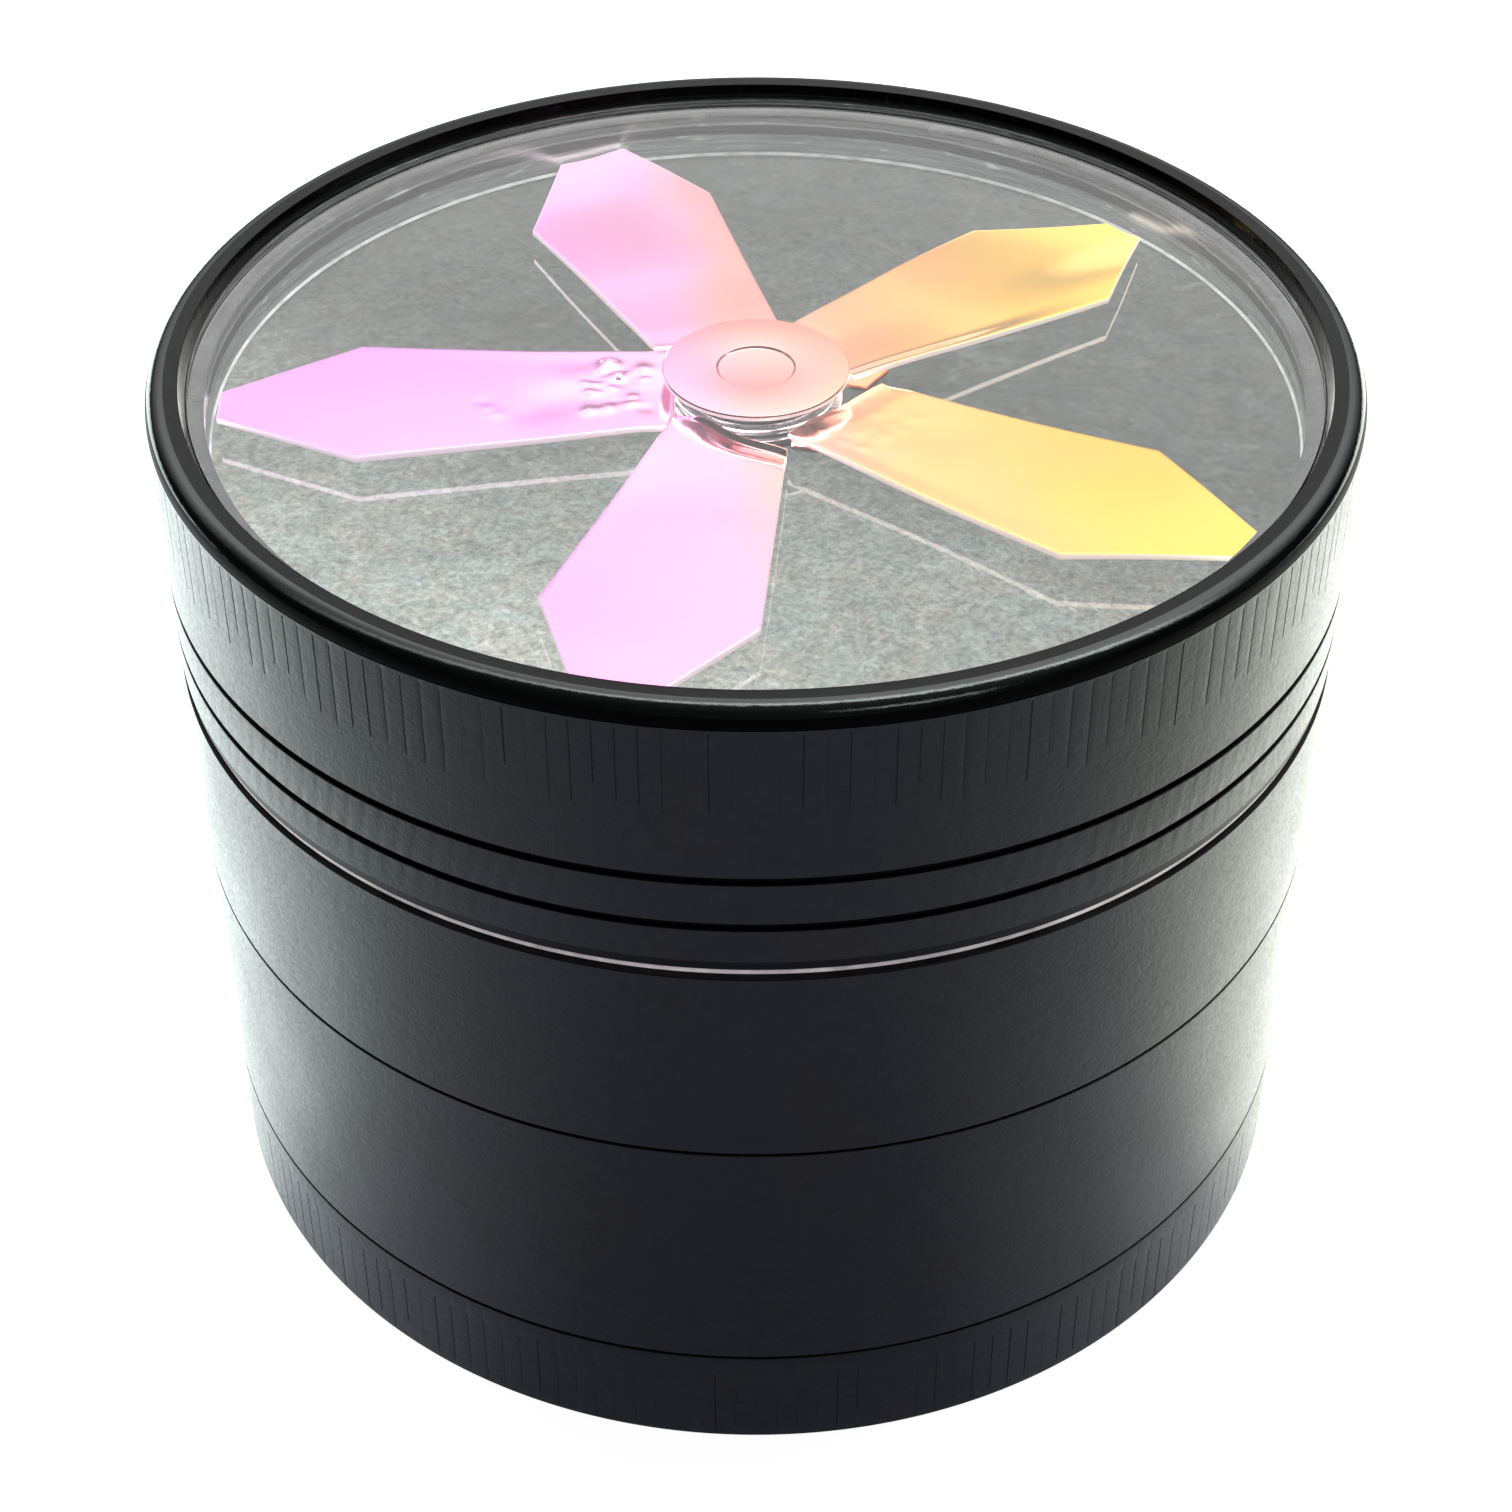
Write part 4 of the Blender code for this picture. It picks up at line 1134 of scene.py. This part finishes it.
def blade_grid(marks, twist, fold, dip, dents=0.0, droop=0.0, tip=(28.1, -1.25, 1.25),
               root=(-3.22, 3.40), inner=0.0):
    """The middle surface of a kite-shaped blade, as a grid of (along, across, lift)."""
    grid = np.zeros((BLADE_ROWS, BLADE_COLS, 3))
    stations = [3.4, WIDEST_ALONG, tip[0]]
    for b in range(BLADE_COLS):
        frac = b / (BLADE_COLS - 1)
        start = float(np.interp(-3.2 + 6.6 * frac, ROOT_ACROSS, ROOT_ALONG)) + inner * frac
        for a in range(BLADE_ROWS):
            if a <= WIDEST_ROW:
                u = start + (WIDEST_ALONG - start) * (a / WIDEST_ROW) ** 1.25
            else:
                outer_share = (tip[0] - WIDEST_ALONG) * (a - WIDEST_ROW)
                u = WIDEST_ALONG + outer_share / (BLADE_ROWS - 1 - WIDEST_ROW)
            v_low = np.interp(u, stations, [root[0], -WIDEST_HALF, tip[1]])
            v_high = np.interp(u, stations, [root[1], WIDEST_HALF, tip[2]])
            v = v_low + (v_high - v_low) * frac
            z = twist * smooth((13.5 - u) / 8.5) * smooth((1.2 - v) / 4.2)
            z += fold * smooth(1.0 - (v - v_low) / 1.25) * smooth((21.0 - u) / 13.0)
            # the whole root rises a little
            z += 0.10 * smooth((12.0 - u) / 7.0)
            droop_side = smooth((v + 4.2) / 4.5) if droop > 0 else 1.0
            z -= droop * smooth((u - 13.0) / 13.0) * droop_side
            # the root dips, then turns up in a fine lip at its end
            z -= dip * smooth((2.0 - (u - start)) / 1.6) * smooth((v + 2.1) / 2.4)
            z += dip * 0.85 * smooth((0.30 - (u - start)) / 0.30) * smooth((v + 3.0) / 1.5)
            if dents:
                # the marks fade out at the edges
                weight = (smooth((u - start) / 0.5) * smooth((v - v_low) / 0.7)
                          * smooth((v_high - v) / 0.7))
                for along, across, size, height in marks:
                    spread = math.exp(-((u - along) ** 2 + (v - across) ** 2) / (size * size))
                    z += dents * height * weight * spread
            # a slight crown over the outer part
            z += 0.04 * math.cos(v * 0.35) * smooth((u - 8) / 6) * smooth((27.5 - u) / 5)
            grid[a, b] = (u, v, min(z, SHEET_MAX_LIFT))
    return grid


def blade(name, angle, **shape):
    rng = np.random.default_rng(11 + int(angle + 360))
    marks = [(rng.uniform(5.7, 9.0), rng.uniform(-2.7, 2.0), rng.uniform(0.20, 0.42),
              rng.uniform(-0.06, 0.15)) for _ in range(52)]
    grid = blade_grid(marks + LARGE_MARKS, **shape)
    cos, sin = math.cos(math.radians(angle)), math.sin(math.radians(angle))
    rows, cols = BLADE_ROWS, BLADE_COLS
    verts, faces, mats = [], [], []

    def index(layer, a, b):
        return layer * rows * cols + a * cols + b

    for dz in (-SHEET / 2, SHEET / 2):
        for u, v, z in grid.reshape(-1, 3):
            verts.append(((u * cos - v * sin) * MM, (u * sin + v * cos) * MM,
                          (SHEET_Z + z + dz) * MM))
    for a in range(rows - 1):
        for b in range(cols - 1):
            around = ((a, b), (a + 1, b), (a + 1, b + 1), (a, b + 1))
            faces.append([index(1, *corner) for corner in around])
            faces.append([index(0, *around[k]) for k in (0, 3, 2, 1)])
            mats.extend([0, 0])
    rim = ([(a, 0) for a in range(rows)] + [(rows - 1, b) for b in range(1, cols)]
           + [(a, cols - 1) for a in range(rows - 2, -1, -1)]
           + [(0, b) for b in range(cols - 2, 0, -1)])
    # the cut edge all round gets the painted highlight
    for here, after in zip(rim, rim[1:] + rim[:1]):
        faces.append([index(0, *here), index(0, *after), index(1, *after), index(1, *here)])
        mats.append(1)
    obj = add_object(name, verts, faces, [M_RAINBOW, M_RAINBOW_EDGE], mats, 40.0, False)
    break_edges(obj, width=0.05, segments=2, limit=50, sharp=60.0)
    return obj


# top of the flange under the root of a blade: (along, across, z)
FLANGE = ((3.95, -2.9, 46.62), (4.5, -3.72, 46.62), (6.6, -3.1, 46.66), (5.7, -1.2, 46.60),
          (4.2, -0.9, 46.60))
FLANGE_THICK = 0.28


def flange(name, angle):
    """A small piece of sheet under the root of a blade, running in to the hub."""
    cos, sin = math.cos(math.radians(angle)), math.sin(math.radians(angle))
    bm = bmesh.new()
    low, high = [
        [bm.verts.new(((u * cos - v * sin) * MM, (u * sin + v * cos) * MM, (z - drop) * MM))
         for u, v, z in FLANGE]
        for drop in (FLANGE_THICK, 0.0)]
    for k in range(len(FLANGE)):
        m = (k + 1) % len(FLANGE)
        bm.faces.new((low[k], low[m], high[m], high[k]))
    bm.faces.new(low[::-1])
    bm.faces.new(high)
    bmesh.ops.bevel(bm, geom=list(bm.edges), offset=0.06 * MM, segments=2, affect="EDGES")
    obj = object_from_bmesh(name, bm, [M_RAINBOW])
    finish_shading(obj, 40.0)
    return obj


place(plain_ring("spinner_wheel_ring", 3.78, 4.35, 46.42, 46.78, fillet=0.08, mat=M_STEEL,
                 segs=120, arc=2), "spinner", "spinner", "spinner_blades")
for i, shape in enumerate(BLADES):
    angle = FIRST_BLADE_DEG - i * 360 / len(BLADES)
    place(blade("spinner_blade_%d" % (i + 1), angle, **shape), "spinner", "spinner")
    place(flange("spinner_flange_%d" % (i + 1), angle), "spinner", "spinner")

# ======================================================================================
# Floor, light and camera, in metres
# ======================================================================================
FLOOR_HALF, FLOOR_Z = 3.0, -0.00005
# light the floor throws back, by degrees round from the front (-Y) to the back
FLOOR_LIGHT = [(0, 0.21), (22, 0.23), (45, 0.46), (61, 0.88), (69, 1.48), (77, 2.1), (88, 2.8),
               (97, 3.6), (114, 3.8), (180, 3.6)]


def floor_material():
    """Nearly white to the camera. To other rays it is a glow: low in front, full behind."""
    mat, net, bsdf = new_material("pale_floor")
    net.feed(bsdf, {
        "Base Color": (0.12, 0.12, 0.12),
        "Roughness": 0.8,
        "Specular IOR Level": 0.1,
        "Emission Color": (1, 1, 1),
        "Emission Strength": 0.97,
    })
    position = net.geometry("Position")
    x, y, _ = net.split(position)
    away = net.calc("ARCTAN2", net.calc("ABSOLUTE", x), net.calc("MULTIPLY", y, -1.0))
    strength = net.curve(away, top=7.0, stops=FLOOR_LIGHT)

    # change with distance from the axis: a rise in front, a fall at the sides
    length = net.node("ShaderNodeVectorMath", {0: position}, operation="LENGTH")
    distance = length.outputs["Value"]
    near_far = (0.042, 0.090)
    beside = net.remap(away, span=angle_span(15, 75))
    side_or_back = net.mix_value(net.remap(away, span=angle_span(72, 108)),
                                 low=net.remap(distance, span=near_far, to=(1.62, 0.35)),
                                 high=net.remap(distance, span=near_far, to=(1.00, 1.12)))
    change = net.mix_value(beside, low=net.remap(distance, span=near_far, to=(1.0, 1.9)),
                           high=side_or_back)
    strength = net.calc("MULTIPLY", strength, change)

    # bluish in front, faintly green on the left and yellow on the right
    flank = net.mix_colour(net.remap(x, span=(-0.03, 0.03)),
                           low=(0.93, 1.03, 1.015), high=(0.985, 1.03, 0.945))
    tint = net.mix_colour(beside, low=(0.93, 0.95, 1.25), high=flank)
    glow = net.emission(tint, strength)
    net.surface(net.mix_shader(net.light_path()["Is Camera Ray"], glow, bsdf.outputs[0]))
    return mat


floor_mesh = bpy.data.meshes.new("floor")
floor_corners = [(x * FLOOR_HALF, y * FLOOR_HALF, FLOOR_Z)
                 for x, y in ((-1, -1), (1, -1), (1, 1), (-1, 1))]
floor_mesh.from_pydata(floor_corners, [], [(0, 1, 2, 3)])
link_object("floor", floor_mesh)
floor_mesh.materials.append(floor_material())

# brightness of the sky, by degrees up from the horizon behind the object, over the top and
# down to the horizon behind the camera
SKY_LIGHT = [
    (0, 0.08), (24, 0.10), (26.2, 0.12), (26.7, 0.35), (27.5, 1.45), (28.4, 1.74), (31, 2.0),
    (36, 2.56), (42, 3.2), (50, 3.5), (60, 4.2), (69, 5.0), (73, 14.0), (80, 14.0), (85, 0.5),
    (120, 0.12), (180, 0.08),
]


def build_world():
    """A plain white sky to the camera; to other rays, a tall panel behind and one lamp."""
    world = bpy.data.worlds.new("studio")
    bpy.context.scene.world = world
    world.use_nodes = True
    net = Net(world.node_tree)
    net.tree.nodes.clear()
    x, y, z = net.split(net.node("ShaderNodeTexCoord").outputs["Generated"])
    arc = net.calc("ARCTAN2", z, y)

    # the panel: dark beyond its sides, and weaker high on the left
    panel = net.curve(arc, top=26.0, stops=SKY_LIGHT)
    flank = net.remap(net.calc("ABSOLUTE", x), span=(0.45, 0.82), to=(1.0, 0.006))
    left = net.remap(x, span=(-0.42, 0.05), to=(0.35, 1.0))
    high = net.remap(arc, span=angle_span(44, 56))
    loss = net.calc("MULTIPLY", high, net.calc("SUBTRACT", 1.0, left))
    panel = net.calc("MULTIPLY", panel, flank, net.calc("SUBTRACT", 1.0, loss))

    # fill under the panel, only for rays that have already met a surface
    path = net.light_path()
    fill = net.calc("MULTIPLY",
                    net.remap(arc, span=angle_span(8, 24), to=(0.15, 1.25)),
                    net.remap(arc, span=angle_span(26.5, 27.5), to=(1, 0)),
                    flank,
                    net.calc("GREATER_THAN", path["Ray Depth"], 1.5),
                    net.calc("SUBTRACT", 1.0, path["Is Transmission Ray"]))

    # a small lamp above the camera, to the right
    lamp_arc = net.calc("MULTIPLY", net.remap(arc, span=angle_span(120, 124)),
                        net.remap(arc, span=angle_span(127, 131), to=(1, 0)))
    lamp_side = net.calc("MULTIPLY", net.remap(x, span=(0.16, 0.30)),
                         net.remap(x, span=(0.46, 0.56), to=(1, 0)))
    lamp_strength = 7.0
    lamp = net.calc("MULTIPLY", lamp_arc, lamp_side, lamp_strength)

    base_level = 0.02
    glow = net.calc("ADD", panel, base_level, fill, lamp)
    lit = net.node("ShaderNodeBackground", {"Strength": glow})
    plain = net.node("ShaderNodeBackground", {"Strength": 1.0})
    sky = net.mix_shader(net.light_path()["Is Camera Ray"], lit.outputs[0], plain.outputs[0])
    net.node("ShaderNodeOutputWorld", {"Surface": sky})


def add_camera():
    data = bpy.data.cameras.new("camera")
    data.lens = 68.53
    data.sensor_width = 36.0
    data.clip_start = 0.005
    camera = link_object("camera", data)
    camera.location = (0.0, -0.13009, 0.12723)
    camera.rotation_euler = (math.radians(51.07), 0.0, 0.0)
    bpy.context.scene.camera = camera


build_world()
add_camera()
bpy.context.scene.view_settings.view_transform = "Standard"
bpy.context.scene.view_settings.look = "None"
